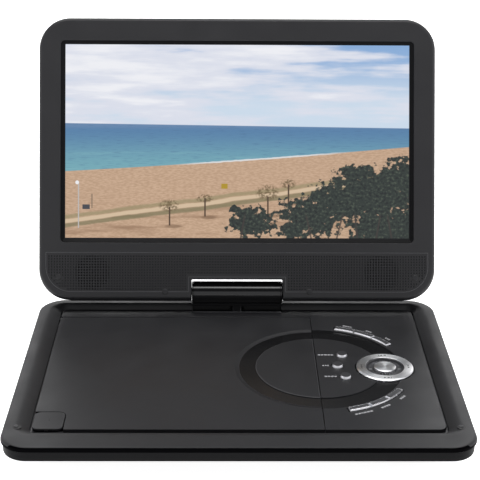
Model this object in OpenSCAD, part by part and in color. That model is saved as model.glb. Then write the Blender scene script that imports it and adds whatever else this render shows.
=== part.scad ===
// Portable disc player: a tray-shaped base with a disc lid and a key panel, and a screen lid
// on a barrel that tilts and swivels. Millimetres, +Z up, the user at -Y.
// The origin is on the table, under the middle of the open player's bounding box.
// Inside the modules Y is counted from the base's front edge, and player() moves it to the origin.

/* [Base] */
// Width of the base
base_w = 256; // [254:1:260]
// Depth of the base
base_d = 186; // [186:1:188]
// Radius of the base's corners seen from above
base_r = 15; // [13:1:16]
// Height of the rim above the table
rim_z = 22; // [22:0.25:23]
// Height of the rim lip, from the rim's top down to the seam
lip_h = 3; // [2.6:0.1:3.2]
// Depth of the deck below the rim
deck_drop = 3.5; // [3.2:0.1:3.8]

/* [Deck] */
// X of the split between the disc lid and the key panel
split_x = 47.1; // [46:0.1:48]
// Outer radius of the moulded ring
ring_r = 50; // [49:0.5:51]
// Inner radius of the moulded ring
ring_in_r = 37.6; // [36:0.2:39]
// Centre of the disc, and of its well, across the player
disc_x = -33; // [-34:0.5:-32]
// Radius of the disc well
well_r = 62; // [61:0.25:62.5]

/* [Screen lid] */
// Width of the screen lid
lid_w = 256; // [254:1:260]
// Height of the screen lid
lid_h = 182.2; // [180:0.2:184]
// Radius of the screen lid's corners
lid_r = 20; // [16:1:22]
// How far the lid leans back from upright when open, in degrees
lean = 22; // [18:1:26]
// Width of the picture area
picture_w = 222.4; // [218:0.2:223]
// Height of the picture area
picture_h = 125.1; // [122:0.2:126]

/* [Hinge] */
// Length of the hinge barrel
barrel_l = 58.6; // [57:0.2:60]
// Radius of the hinge barrel
barrel_r = 7.4; // [7.2:0.1:7.4]

/* [Hidden] */
$fn = 64;
eps = 0.1;             // overshoot of a cut past a face
wall = 1.8;            // wall of the shells
gap = 0.3;             // clearance between pieces that move apart
fit = 0.05;            // radial clearance of a running fit
seam_z = rim_z - lip_h;
deck_z = rim_z - deck_drop;       // top of the disc lid and the key panel
deck_t = 2;                       // thickness of both
ledge_z = deck_z - deck_t - 0.2;  // top of the ledge below them
ledge_t = 1.7;
ledge_z0 = ledge_z - ledge_t;
foot_h = 1.5;
floor_z = foot_h + wall;          // inside floor of the base
pan_z = 12.8;                     // where the pan meets the wider tray
well_floor_z = 11.4;
deck_x0 = -113.5;
deck_x1 = 114;
deck_y0 = 25.3;
deck_y1 = 178;
lid_rear_y = 165.8;               // disc lid's hinge axis
knuckle_r = 1.95;
disc_pin_r = 1.2;
strip_y = lid_rear_y + 2.4;       // front of the fixed strip behind the disc lid
ring_c = [48.2, 98.5];            // centre of the moulded ring
nav_c = [87.8, 97.4];             // centre of the navigation ring
disc_c = [disc_x, 98.5];
hinge_y = 179.5;
hinge_z = rim_z + 9.2;
barrel_z = -0.9;                  // the barrel's middle, from the hinge axis
saddle_y = 4.6;                   // half the depth of the block under the barrel
saddle_z = -8.75;                 // and its underside, from the hinge axis
plate_y0 = 174.5;                 // front edge of the hinge plate
step_y = 181;                     // where the plate steps up, behind the barrel
lid_below = 5.6;                  // lid's bottom edge below the hinge axis
face_y = -8.6;                    // the lid's front face, from the hinge axis
back_y = 8.6;
part_y = -3;                      // parting line between bezel and back shell
back_round = 6;                   // rounding of the lid's back edges
shaft_r = 2.2;
slope_z = deck_z - 0.5;           // foot of the rim's sloping inner wall
post_r = 4.2;
bulge_r = 14;                     // swivel housing behind the base
corner_n = 10;                    // segments of a rounded corner
lid_top_y = hinge_y + (lid_h - lid_below - back_round) * sin(lean)
    + (back_y - back_round) * cos(lean) + back_round;
origin_y = lid_top_y / 2;

// ---- shapes that repeat ----

function arc(c, r, a0, a1, n = corner_n) =
    [for (i = [0:n]) let (a = a0 + (a1 - a0) * i / n) c + r * [cos(a), sin(a)]];
function round_box(lo, hi, r) = concat(
    arc([hi.x - r, hi.y - r], r, 0, 90), arc([lo.x + r, hi.y - r], r, 90, 180),
    arc([lo.x + r, lo.y + r], r, 180, 270), arc([hi.x - r, lo.y + r], r, 270, 360));
function sector(r0, r1, a0, a1) = concat(arc([0, 0], r1, a0, a1), arc([0, 0], r0, a1, a0));

module player() { translate([0, -origin_y, 0]) children(); }
module lid_place() { player() translate([0, hinge_y, hinge_z]) rotate([-lean, 0, 0]) children(); }
module box(lo, hi) { translate(lo) cube(hi - lo); }
module slab(lo, hi, r, z0, z1) {
    translate([0, 0, z0]) linear_extrude(z1 - z0) polygon(round_box(lo, hi, r));
}
// A plate in the lid's plane: x across, v up from the hinge axis, from y0 back to y1.
module lid_slab(lo, hi, r, y0, y1) {
    translate([0, y1, 0]) rotate([90, 0, 0]) linear_extrude(y1 - y0) polygon(round_box(lo, hi, r));
}
module disc(p, r, z0, z1) { translate([p.x, p.y, z0]) cylinder(h = z1 - z0, r = r); }
module rod_x(p, r, x0, x1) { translate([x0, p[0], p[1]]) rotate([0, 90, 0]) cylinder(h = x1 - x0, r = r); }
module rod_y(p, r, y0, y1) { translate([p[0], y0, p[1]]) rotate([-90, 0, 0]) cylinder(h = y1 - y0, r = r); }
module tube(p, r0, r1, z0, z1) {
    difference() {
        disc(p, r1, z0, z1);
        disc(p, r0, z0 - eps, z1 + eps);
    }
}

// ---- base ----

screw_at = [[-115, 33], [115, 33], [-115, 168.5], [115, 168.5], [40, 33], [40, 168.5]];
foot_at = [[-100, 42], [100, 42], [-100, 160], [100, 160]];
swivel_at = [0, hinge_y];
pan_lo = [-base_w / 2 + 3.5, 24];
pan_hi = [base_w / 2 - 3.5, base_d - 8];
side_x = pan_hi.x;                // outer face of the right wall, which holds the sockets
socket_z = 9.1;
dc_y = 58;
av_y = 72;
phone_y = 84;
usb_y = 101;
card_y = 126;
switch_y = 44;

module base_bottom_shell() {
    color("#1d1d1f") player() difference() {
        union() {
            slab([-base_w / 2 + 1, 1], [base_w / 2 - 1, base_d - 1], base_r - 1, pan_z, seam_z);
            slab(pan_lo, pan_hi, 12, foot_h, pan_z);
            disc(swivel_at, bulge_r - 1, 4, seam_z);
        }
        difference() {
            union() {
                slab([-base_w / 2 + 2.8, 2.8], [base_w / 2 - 2.8, base_d - 2.8], base_r - 2.8,
                    ledge_z0 - 0.2, seam_z + eps);
                slab(pan_lo + [wall, wall], pan_hi - [wall, wall], 10.2, floor_z, pan_z + 2);
            }
            for (p = screw_at) disc(p, 3.4, foot_h, 9.5);
            for (p = damper_at) disc(p, 2, foot_h, 5.1);
        }
        disc(swivel_at, bulge_r - wall - 1, 4 + wall, seam_z + eps);
        translate([0, 0, ledge_z]) linear_extrude(10) hinge_plan(0.2);
        for (p = screw_at) disc(p, 1.6, foot_h - eps, 9.6);
        for (p = screw_at) disc(p, 2.8, foot_h - eps, 4.6);
        for (p = foot_at) disc(p, 6.05, foot_h - eps, foot_h + 0.8);
        for (i = [0:8]) box([-80 + i * 9, 140, foot_h - eps], [-78 + i * 9, 160, floor_z + eps]);
        side_holes();
    }
}

module side_holes() {
    x0 = side_x - wall - eps;
    x1 = side_x + eps;
    rod_x([dc_y, socket_z], 4.1, x0, x1);
    rod_x([av_y, socket_z], 3.1, x0, x1);
    rod_x([phone_y, socket_z], 3.1, x0, x1);
    box([x0, usb_y - 7, socket_z - 3.1], [x1, usb_y + 7, socket_z + 3.1]);
    box([x0, card_y - 13, socket_z - 1.9], [x1, card_y + 13, socket_z + 1.9]);
    box([x0, switch_y - 5, socket_z - 1.6], [x1, switch_y + 5, socket_z + 1.6]);
}

module base_top_shell() {
    color("#303033") player() difference() {
        union() {
            slab([-base_w / 2, 0], [base_w / 2, base_d], base_r, seam_z, rim_z);
            slab([-base_w / 2 + 3, 3], [base_w / 2 - 3, base_d - 3], base_r - 3, ledge_z0, seam_z + 1);
            disc(swivel_at, bulge_r, seam_z, rim_z);
            disc(disc_c, well_r + 1.4, well_floor_z - 1.2, ledge_z0 + 0.5);
            for (p = screw_at) disc(p, 3, 9.7, ledge_z0 + 0.5);
        }
        rim_opening();
        rim_hollow();
        disc(disc_c, well_r, well_floor_z, ledge_z + 1);
        disc(disc_c, 16.8, well_floor_z - 2, well_floor_z + 1);
        box([disc_x - 8, disc_c.y - 60.5, 9], [disc_x + 8, disc_c.y, 12]);
        box([deck_x0 - 0.6, lid_rear_y - 2.6, ledge_z0 - eps], [split_x + 3, strip_y - 0.2, ledge_z + 1]);
        box([-112.4, 27, ledge_z0 - eps], [-86, 43, ledge_z + 1]);
        box([52, 38, ledge_z0 - eps], [108, 158, ledge_z + 1]);
        for (p = screw_at) disc(p, 1.2, 9.6, ledge_z - 0.4);
        hinge_recess();
        disc(swivel_at, bulge_r - 2.7, ledge_z0 - eps, ledge_z + 1);
        rod_x([lid_rear_y, deck_z - 2], disc_pin_r + fit, deck_x0 - 4, deck_x0);
    }
}

// The opening inside the rim: its walls slope from the rim's inner edge down to the deck.
module rim_opening() {
    hull() {
        slab([-118, 15.5], [118, base_d - 4.5], 8, rim_z, rim_z + eps);
        slab([deck_x0 - 0.95, 21.45], [deck_x1 + 0.95, deck_y1 + 0.85], 5.55, slope_z, slope_z + eps);
    }
    slab([deck_x0 - 0.9, 21.5], [deck_x1 + 0.9, deck_y1 + 0.8], 5.5, ledge_z, rim_z - 1);
}

// The rim is a hollow moulding, open below.
module rim_hollow() {
    difference() {
        slab([-base_w / 2 + 4.6, 4.6], [base_w / 2 - 4.6, deck_y1], base_r - 4.6, ledge_z0 - eps, rim_z - 1.6);
        slab([-120.2, 13.3], [120.2, base_d], 9, ledge_z0 - 2 * eps, rim_z);
        for (p = screw_at) disc(p, 3.4, ledge_z0 - eps, rim_z);
    }
}

module hinge_plan(side) {
    square_lo = [-barrel_l / 2 + 0.4 - side, plate_y0 - side];
    polygon([square_lo, [-square_lo.x, square_lo.y], [-square_lo.x, 184 + side],
        [square_lo.x, 184 + side]]);
    intersection() {
        translate(swivel_at) circle(bulge_r - 2.3 + side);
        translate([-20, hinge_y]) square([40, 20]);
    }
}

module hinge_recess() {
    translate([0, 0, ledge_z + 0.2]) linear_extrude(10) hinge_plan(0.2);
}

module hinge_plate() {
    color("#0f0f11") player() difference() {
        union() {
            translate([0, 0, deck_z - 1.6]) linear_extrude(1.6) hinge_plan(0);
            translate([0, 0, deck_z - 1]) linear_extrude(rim_z - deck_z + 0.8) intersection() {
                hinge_plan(0);
                translate([-40, step_y]) square([80, 20]);
            }
        }
        disc(swivel_at, post_r + 0.5, deck_z - 3, rim_z + 1);
    }
}

module key_panel() {
    color("#38383b") player() difference() {
        union() {
            slab([split_x + 0.2, deck_y0], [deck_x1, deck_y1], 4.5, deck_z - deck_t, deck_z);
            box([split_x + 0.2, deck_y0, deck_z - deck_t], [split_x + 12, strip_y, deck_z]);
            slab([deck_x0, strip_y], [split_x + 20, deck_y1], 3.8, deck_z - deck_t, deck_z);
            box([deck_x0, strip_y - 1.2, deck_z - deck_t], [split_x + 12, strip_y + 5, deck_z]);
            box([split_x + 0.4, lid_rear_y - 3.6, ledge_z + 0.1], [split_x + 4, lid_rear_y + 2, deck_z - 1]);
        }
        ring_groove();
        rod_x([lid_rear_y, deck_z - 2], knuckle_r + 0.2, deck_x0 - 1, split_x);
        translate([0, 0, deck_z - 1.3]) linear_extrude(3) hinge_plan(0.3);
        box([-barrel_l / 2, plate_y0 - 0.3, deck_z - 3], [barrel_l / 2, deck_y1 + 1, deck_z + 1]);
        disc(nav_c, nav_r + 0.5, deck_z - 3, deck_z + 1);
        disc(swivel_at, post_r + 0.5, deck_z - 3, deck_z + 1);
        for (p = small_at) disc(p, small_r + gap, deck_z - 3, deck_z + 1);
        for (s = [1, -1]) for (i = [0:2]) key_shape(s, i, gap, deck_z - 3, deck_z + 1);
        rod_x([lid_rear_y, deck_z - 2], disc_pin_r + fit, split_x - 1, split_x + 3);
    }
}

module ring_groove() {
    tube(ring_c, ring_in_r, ring_r, deck_z - 0.6, deck_z + 1);
}

module rubber_feet() { color("#151515") player() for (p = foot_at) disc(p, 6, 0, foot_h + 0.8); }

module base_screws() {
    color("silver") player() for (p = screw_at) difference() {
        union() {
            disc(p, 2.6, 2.9, 4.6);
            disc(p, 1.2, 4.6, 13);
        }
        translate([p.x, p.y, 2.8]) cylinder(h = 1.1, r = 1.1, $fn = 6);
    }
}

module rim_bumpers() {
    color("#101010") player() for (s = [-1, 1]) disc([s * 120.6, 22.5], 1.9, rim_z, rim_z + 0.35);
}

module battery_pack() {
    color("#2d5f8a") player() {
        slab([28, 118], [61.7, 164], 3, floor_z + 0.1, floor_z + 8);
        slab([62.3, 118], [96, 164], 3, floor_z + 0.1, floor_z + 8);
    }
}

board_z = 4.9;
board_t = 1.2;
module main_board() {
    color("#1f6b3a") player() difference() {
        union() {
            slab([24, 37.5], [121.5, 112], 2, board_z, board_z + board_t);
            slab([98, 108], [121.5, 150], 2, board_z, board_z + board_t);
            for (p = [[30, 42], [30, 108], [112, 146]]) disc(p, 2.2, floor_z, board_z);
        }
        for (p = [[30, 42], [30, 108], [112, 146]]) disc(p, 1.2, floor_z - eps, board_z + 3);
    }
}

module board_chips() {
    z0 = board_z + board_t;
    color("#101010") player() {
        box([52, 62, z0], [72, 82, z0 + 1.6]);
        box([52, 90, z0], [62, 101, z0 + 1]);
        box([80, 60, z0], [88, 72, z0 + 1]);
        for (i = [0:3]) disc([82 + i * 7, 100], 2.6, z0, z0 + 5);
    }
}

module button_board() {
    color("#1f6b3a") player() slab([53, 39], [107, 157], 2, 11.6, 12.6);
}

small_r = 3.4;
small_at = [for (a = [150, 180, 210]) nav_c + [-0.5, 2.4] + 27.6 * [cos(a), sin(a)]];
nav_r = 17.2;
nav_in_r = 10.8;
centre_r = 6.7;
key_r0 = 51.4;
key_r1 = 55.6;
key_a0 = 32;
key_a1 = 75.5;
key_top = deck_z + 0.9;
button_z0 = 15.2;                 // underside of the buttons' feet
stem_z0 = 14.2;                   // where a stem meets its switch

function key_angle(i) = key_a0 + (key_a1 - key_a0) * i / 3;
function key_mid(s, i) = ring_c + (key_r0 + key_r1) / 2 * [cos(key_angle(i + 0.5)), s * sin(key_angle(i + 0.5))];

module key_shape(s, i, side, z0, z1) {
    turn = side / key_r0 * 180 / PI;
    trim = 0.25;
    translate([ring_c.x, ring_c.y, z0]) mirror([0, s < 0 ? 1 : 0, 0]) linear_extrude(z1 - z0)
        polygon(sector(key_r0 - side, key_r1 + side, key_angle(i) + trim - turn, key_angle(i + 1) - trim + turn));
}

module key(s, i) {
    color("silver") player() {
        key_shape(s, i, 0, button_z0, key_top);
        disc(key_mid(s, i), 1.2, stem_z0, button_z0);
    }
}

module small_button(i) {
    color("#3c3c40") player() {
        disc(small_at[i], small_r, button_z0, deck_z + 1.5);
        disc(small_at[i], 1.2, stem_z0, button_z0);
    }
}

module nav_ring() {
    color("silver") player() {
        tube(nav_c, nav_in_r - 1.2, nav_r, button_z0, deck_z - 0.2);
        difference() {
            translate([nav_c.x, nav_c.y, deck_z - 0.2]) cylinder(h = 1.1, r1 = nav_r, r2 = nav_r - 1.4);
            disc(nav_c, nav_in_r, deck_z - 1, deck_z + 2);
        }
        for (a = [0:90:270]) disc(nav_c + 14 * [cos(a), sin(a)], 1.2, stem_z0, button_z0);
    }
}

module centre_button() {
    color("silver") player() {
        disc(nav_c, centre_r, button_z0, deck_z + 1.1);
        disc(nav_c, 1.2, stem_z0, button_z0);
    }
}

module tact_switches() {
    color("#202020") player() {
        for (p = small_at) tact_switch(p);
        for (a = [0:90:270]) tact_switch(nav_c + 14 * [cos(a), sin(a)]);
        tact_switch(nav_c);
        for (s = [1, -1]) for (i = [0:2]) tact_switch(key_mid(s, i));
    }
}

module tact_switch(p) {
    box([p.x - 1.6, p.y - 1.6, 12.6], [p.x + 1.6, p.y + 1.6, stem_z0 - 0.6]);
}

// ---- sockets on the right side ----

module round_socket(y, body_w, collar_r, bore_r, depth) {
    difference() {
        union() {
            box([108, y - body_w / 2, board_z + board_t], [side_x - wall - 0.1, y + body_w / 2, 12.3]);
            rod_x([y, socket_z], collar_r, side_x - wall - 0.2, side_x - 0.1);
        }
        rod_x([y, socket_z], bore_r, side_x - 0.1 - depth, side_x + 1);
    }
}

module headphone_jack() { color("#222") player() round_socket(phone_y, 7, 3, 1.8, 13); }
module av_jack() { color("#c9a227") player() round_socket(av_y, 7, 3, 1.8, 13); }

module dc_jack() {
    color("#222") player() {
        round_socket(dc_y, 9, 4, 2.85, 10);
        rod_x([dc_y, socket_z], 1, side_x - 10.6, side_x - 1.5);
    }
}

module usb_port() {
    color("silver") player() {
        difference() {
            box([110, usb_y - 6.8, socket_z - 2.9], [side_x - 0.1, usb_y + 6.8, socket_z + 2.9]);
            box([111, usb_y - 6.3, socket_z - 2.4], [side_x + 1, usb_y + 6.3, socket_z + 2.4]);
        }
        box([111, usb_y - 5.5, socket_z + 0.2], [side_x - 1.5, usb_y + 5.5, socket_z + 1.8]);
    }
}

module card_slot() {
    color("silver") player() difference() {
        box([100, card_y - 12.8, socket_z - 1.7], [side_x - 0.1, card_y + 12.8, socket_z + 1.7]);
        box([102, card_y - 12.1, socket_z - 1.2], [side_x + 1, card_y + 12.1, socket_z + 1.2]);
    }
}

module switch_body() {
    color("#222") player() difference() {
        box([114, switch_y - 6, socket_z - 3], [side_x - wall - 0.1, switch_y + 6, socket_z + 3]);
        box([117, switch_y - 5, socket_z - 1.5], [side_x, switch_y + 5, socket_z + 1.5]);
    }
}

module power_switch() {
    color("#141414") player() {
        box([117.3, switch_y - 4.6, socket_z - 1.2], [side_x - 2, switch_y + 1.4, socket_z + 1.2]);
        box([side_x - 2, switch_y - 3.6, socket_z - 1.2], [side_x + 0.9, switch_y + 0.4, socket_z + 1.2]);
    }
}

// ---- disc lid and its latch ----

catch_x = -90;
module disc_lid() {
    color("#38383b") player() {
        difference() {
            union() {
                slab([deck_x0, deck_y0], [split_x - 0.2, lid_rear_y], 2, deck_z - deck_t, deck_z);
                rod_x([lid_rear_y, deck_z - 2], knuckle_r, deck_x0 + 1, split_x - 0.6);
                tube(disc_c, 58, 59.2, 15, deck_z - 1);
            }
            slab([deck_x0 - 20, deck_y0 - 20], [-95.8, 44.6], 5, deck_z - 6, deck_z + 1);
            ring_groove();
        }
        rod_x([lid_rear_y, deck_z - 2], disc_pin_r, deck_x0 - 2.6, deck_x0 + 2);
        rod_x([lid_rear_y, deck_z - 2], disc_pin_r, split_x - 2, split_x + 2.6);
        box([catch_x, 32, 11], [catch_x + 1.6, 38, deck_z - 1]);
    }
}

open_lo = [deck_x0 + 0.2, deck_y0 + 0.3];
open_hi = [-96.3, 44.1];
wedge_x = -105;
module open_button() {
    color("#38383b") player() {
        slab(open_lo, open_hi, 3.5, deck_z - 1.2, deck_z);
        translate([wedge_x, 37, 0]) rotate([90, 0, 0]) linear_extrude(4)
            polygon([[2, deck_z - 1], [2, 10.6], [-2, 14.6], [-2, deck_z - 1]]);
    }
}

module latch_slider() {
    color("#d8d8d8") player() {
        translate([wedge_x, 37.5, 0]) rotate([90, 0, 0]) linear_extrude(5)
            polygon([[-2.4, 7.4], [14.6, 7.4], [14.6, 12.4], [12.8, 12.4], [12.8, 9],
                [3, 9], [1.4, 10.6], [-2.4, 14.4]]);
    }
}

// ---- disc loader ----

damper_at = [[disc_x - 44, 46], [disc_x + 44, 46], [disc_x - 44, 130], [disc_x + 44, 130]];
chassis_z = 5.2;
rod_z = 8.4;
rod_x_off = 22;
rod_r = 1.1;
screw_x = disc_x - 28;
pickup_y = disc_c.y - 25;

module loader_chassis() {
    color("#b9bcc0") player() difference() {
        union() {
            slab([disc_x - 50, 28], [disc_x + 50, 136], 5, chassis_z, chassis_z + 1);
            for (s = [-1, 1]) for (y = [30.5, 110.5])
                box([disc_x + s * rod_x_off - 2.5, y - 2, chassis_z + 0.5],
                    [disc_x + s * rod_x_off + 2.5, y + 2, rod_z + 1.7]);
        }
        slab([disc_x - 16, 34], [disc_x + 16, 84], 3, chassis_z - 1, chassis_z + 3);
        for (p = damper_at) disc(p, 2.4, chassis_z - 1, chassis_z + 3);
        for (s = [-1, 1]) rod_y([disc_x + s * rod_x_off, rod_z], rod_r, 28, 113);
    }
}

module loader_dampers() {
    color("#3a3a3a") player() for (p = damper_at) {
        tube(p, 2, 2.35, floor_z + 0.1, 6.6);
        tube(p, 2, 4, floor_z + 0.1, chassis_z);
    }
}

module guide_rods() {
    color("silver") player() for (s = [-1, 1]) rod_y([disc_x + s * rod_x_off, rod_z], rod_r, 28.6, 112.4);
}

module spindle_motor() {
    color("#a9abad") player() difference() {
        disc(disc_c, 11, chassis_z + 1, 9.6);
        disc(disc_c, 1 + fit, chassis_z + 2, 10);
    }
}

module spindle_hub() {
    color("#2a2a2a") player() {
        disc(disc_c, 1, chassis_z + 2.2, 10.4);
        disc(disc_c, 15, 10.2, 12.4);
        translate([disc_c.x, disc_c.y, 12.3]) cylinder(h = 1.7, r = 7.4);
        translate([disc_c.x, disc_c.y, 14]) cylinder(h = 1.4, r1 = 7.4, r2 = 5.6);
    }
}

module optical_pickup() {
    color("#25262b") player() difference() {
        union() {
            box([disc_x - 14, pickup_y - 9, 6.9], [disc_x + 14, pickup_y + 9, 9.9]);
            for (s = [-1, 1]) box([disc_x + s * 19.3 - 5.7, pickup_y - 7, 6.9],
                [disc_x + s * 19.3 + 5.7, pickup_y + 7, 9.9]);
            box([screw_x - 2.6, pickup_y - 2, 6.9], [disc_x - 24, pickup_y + 2, 9.9]);
        }
        for (s = [-1, 1]) rod_y([disc_x + s * rod_x_off, rod_z], rod_r + fit, pickup_y - 20, pickup_y + 20);
        rod_y([screw_x, rod_z], 1.3 + 0.08, pickup_y - 20, pickup_y + 20);
        disc([disc_x, pickup_y], 4, 8.4, 12);
    }
}

module pickup_lens() {
    color("#7fa8d0") player() {
        disc([disc_x, pickup_y], 3.9, 8.4, 10);
        disc([disc_x, pickup_y], 2.6, 10, 11);
        translate([disc_x, pickup_y, 11]) cylinder(h = 0.5, r1 = 2, r2 = 1.2);
    }
}

module lead_screw() {
    color("#c8a45a") player() difference() {
        rod_y([screw_x, rod_z], 1.3, 33, 92);
        for (i = [0:12]) translate([screw_x, 35 + i * 4, rod_z]) rotate([-90, 0, 0]) tube([0, 0], 1.15, 1.6, 0, 0.8);
    }
}

module sled_motor() {
    color("#9a9da0") player() {
        difference() {
            rod_y([screw_x, rod_z], 1.7, 92.5, 108);
            rod_y([screw_x, rod_z], 1, 92, 93.4);
        }
        box([screw_x - 3, 96, chassis_z + 1], [screw_x + 3, 104, rod_z - 1]);
    }
}

// ---- swivel ----

module swivel_bush() {
    color("#e8e6df") player() difference() {
        disc(swivel_at, bulge_r - wall - 1.05, 9, ledge_z + 0.05);
        disc(swivel_at, post_r + fit, 8, 20);
    }
}

module swivel_post() {
    color("#2a2a2c") player() difference() {
        union() {
            disc(swivel_at, post_r, 7, hinge_z - 5.6);
            disc(swivel_at, 9, 7, 8.7);
        }
        disc(swivel_at, 2.6, 6, hinge_z);
    }
}

ear_x = 20;
module hinge_bracket() {
    color("#8d9094") player() translate([0, hinge_y, hinge_z]) difference() {
        union() {
            box([-ear_x - 3, -3.6, -5.6], [ear_x + 3, 3.6, -4.4]);
            for (s = [-1, 1]) box([s * (ear_x + 1.5) - 1.5, -3.6, -4.5], [s * (ear_x + 1.5) + 1.5, 3.6, 3.4]);
        }
        for (s = [-1, 1]) rod_x([0, 0], shaft_r + fit, s * (ear_x + 1.5) - 4, s * (ear_x + 1.5) + 4);
        disc([0, 0], 2.4, -8, -2);
    }
}

module hinge_barrel() {
    color("#17171a") player() translate([0, hinge_y, hinge_z]) difference() {
        union() {
            rod_x([0, barrel_z], barrel_r, -barrel_l / 2 + 1.2, barrel_l / 2 - 1.2);
            box([-barrel_l / 2 + 1.6, -saddle_y, saddle_z], [barrel_l / 2 - 1.6, saddle_y, barrel_z]);
        }
        rod_x([0, barrel_z], barrel_r - 1.4, -barrel_l, barrel_l);
        disc([0, 0], post_r, saddle_z - 1, -2);
    }
}

module barrel_end_caps() {
    color("#c7c9cc") player() translate([0, hinge_y, hinge_z]) for (s = [-1, 1]) difference() {
        union() {
            rod_x([0, barrel_z], barrel_r, s * (barrel_l / 2 - 0.6) - 0.6, s * (barrel_l / 2 - 0.6) + 0.6);
            rod_x([0, barrel_z], barrel_r - 1.45, s * (barrel_l / 2 - 2.2) - 1.2, s * (barrel_l / 2 - 2.2) + 1.2);
        }
        rod_x([0, 0], shaft_r + 0.5, s * barrel_l / 2 - 6, s * barrel_l / 2 + 6);
    }
}

// ---- screen lid, drawn upright with the hinge axis at the origin ----

lid_lo = [-lid_w / 2, -lid_below];
lid_hi = [lid_w / 2, lid_h - lid_below];
rib_x = 108;                      // half the length of the rib under the lid's bottom edge
rib_y = 3;
notch_x = barrel_l / 2 + 0.3;
notch_v = barrel_r + 0.4;
bezel_lo = [-114, 31.6];
bezel_hi = [114, 162];
picture_v = 34.7;                 // bottom of the picture above the hinge axis
speaker_at = [for (s = [-1, 1]) [s * 93.3, 12.2]];
cap_at = [[-115.3, 9.1], [115.3, 9.1], [-46.6, 0.1], [46.6, 0.1]];

module lid_notch() {
    box([-notch_x, -20, -20], [notch_x, 20, notch_v]);
}

module lid_back_outer() {
    hull() {
        lid_slab(lid_lo, lid_hi, lid_r, part_y, part_y + 1);
        for (a = [0:30:90]) lid_slab(lid_lo + back_inset(a) * [1, 0.65], lid_hi - back_inset(a) * [1, 1],
            lid_r - back_inset(a), back_y - back_round + back_round * sin(a) - 0.1,
            back_y - back_round + back_round * sin(a));
    }
}

module lid_back_shell() {
    color("#1b1b1d") lid_place() difference() {
        union() {
            difference() {
                lid_back_outer();
                hull() {
                    lid_slab(lid_lo + [wall, wall], lid_hi - [wall, wall], lid_r - wall,
                        part_y - 1, back_y - back_round);
                    lid_slab(lid_lo + [back_round, 4], lid_hi - [back_round, back_round], lid_r - back_round,
                        back_y - wall - 0.1, back_y - wall);
                }
            }
            intersection() {
                lid_back_outer();
                box([-notch_x - wall, part_y, -lid_below + 0.6], [notch_x + wall, back_y + 1, notch_v + wall]);
            }
            box([-rib_x, part_y, -lid_below - 0.7], [rib_x, rib_y, -lid_below + 1]);
            box([-rib_x / 2, rib_y - 0.5, -lid_below - 0.4], [rib_x / 2, 2 * rib_y, -lid_below + 1.5]);
        }
        lid_notch();
        rod_x([0, 0], shaft_r + 0.3, -notch_x - 5, notch_x + 5);
    }
}

function back_inset(a) = back_round * (1 - cos(a));

module lid_bezel() {
    color("#2e2e31") lid_place() difference() {
        union() {
            difference() {
                hull() {
                    lid_slab(lid_lo, lid_hi, lid_r, face_y + 2, part_y - 0.05);
                    lid_slab(lid_lo + [1.6, 2.6], lid_hi - [1.6, 1.6], lid_r - 1.6, face_y, face_y + 1);
                }
                lid_slab(lid_lo + [wall, wall], lid_hi - [wall, wall], lid_r - wall, face_y + wall, part_y + 1);
            }
            for (p = cap_at) translate([p[0], part_y - 0.05, p[1]]) rotate([90, 0, 0])
                cylinder(h = -face_y + part_y - 1, r = 2.9);
        }
        lid_slab(bezel_lo, bezel_hi, 2.5, face_y - 1, part_y + 1);
        for (p = speaker_at) rod_y([p[0], p[1]], 11.9, face_y - 1, part_y);
        for (p = cap_at) rod_y([p[0], p[1]], 1.9, face_y - 1, face_y + 2.65);
        for (p = cap_at) rod_y([p[0], p[1]], 1.3, face_y - 1, part_y + 1);
        lid_notch();
    }
}

hole_pitch = 1.76;
hole_w = 1;
module speaker_grilles() {
    color("#222224") lid_place() for (p = speaker_at)
        translate([p[0], face_y + 1.4, p[1]]) rotate([90, 0, 0]) linear_extrude(1.4) difference() {
            circle(11.85);
            for (i = [-6:6]) for (j = [-6:6]) if (i * i + j * j <= 41)
                translate([i, j] * hole_pitch) square(hole_w, center = true);
        }
}

module speakers() {
    color("#3b3b3f") lid_place() for (p = speaker_at) {
        translate([p[0], face_y + 1.9, p[1]]) rotate([-90, 0, 0]) rotate_extrude()
            polygon([[10.4, 0], [11.7, 0], [11.7, 1.6], [7, 6], [7, 9], [0, 9], [0, 5.2], [5.4, 5.2]]);
    }
}

module speaker_cones() {
    color("#161616") lid_place() for (p = speaker_at)
        translate([p[0], face_y + 1.9, p[1]]) rotate([-90, 0, 0]) rotate_extrude()
            polygon([[9.6, 0.1], [9.4, 0.6], [4, 3.6], [0, 3.1], [0, 2.6], [4, 2.8]]);
}

module lcd_panel() {
    color("#0b0b0e") lid_place()
        lid_slab([-116.5, picture_v - 4.8], [116.5, picture_v + picture_h + 4.6], 1, face_y + 2.1, face_y + 3.7);
}

module backlight() {
    color("#d9d9d4") lid_place()
        lid_slab([-116.5, picture_v - 4.8], [116.5, picture_v + picture_h + 4.6], 1, face_y + 3.8, face_y + 7.6);
}

module display_board() {
    color("#1f6b3a") lid_place() {
        lid_slab([-76, 14.5], [76, 27], 1, -2.6, -1.4);
        box([-30, -1.4, 17], [-18, -0.2, 25]);
        box([12, -1.4, 17], [30, 0.4, 25]);
    }
}

module lid_screws() {
    color("silver") lid_place() for (p = cap_at) {
        rod_y([p[0], p[1]], 1.8, face_y + 1.2, face_y + 2.6);
        rod_y([p[0], p[1]], 1.2, face_y + 2.6, part_y + 3.4);
    }
}

module screw_caps() {
    color("#242427") lid_place() for (p = cap_at) rod_y([p[0], p[1]], 1.85, face_y + 0.05, face_y + 1.15);
}

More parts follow.
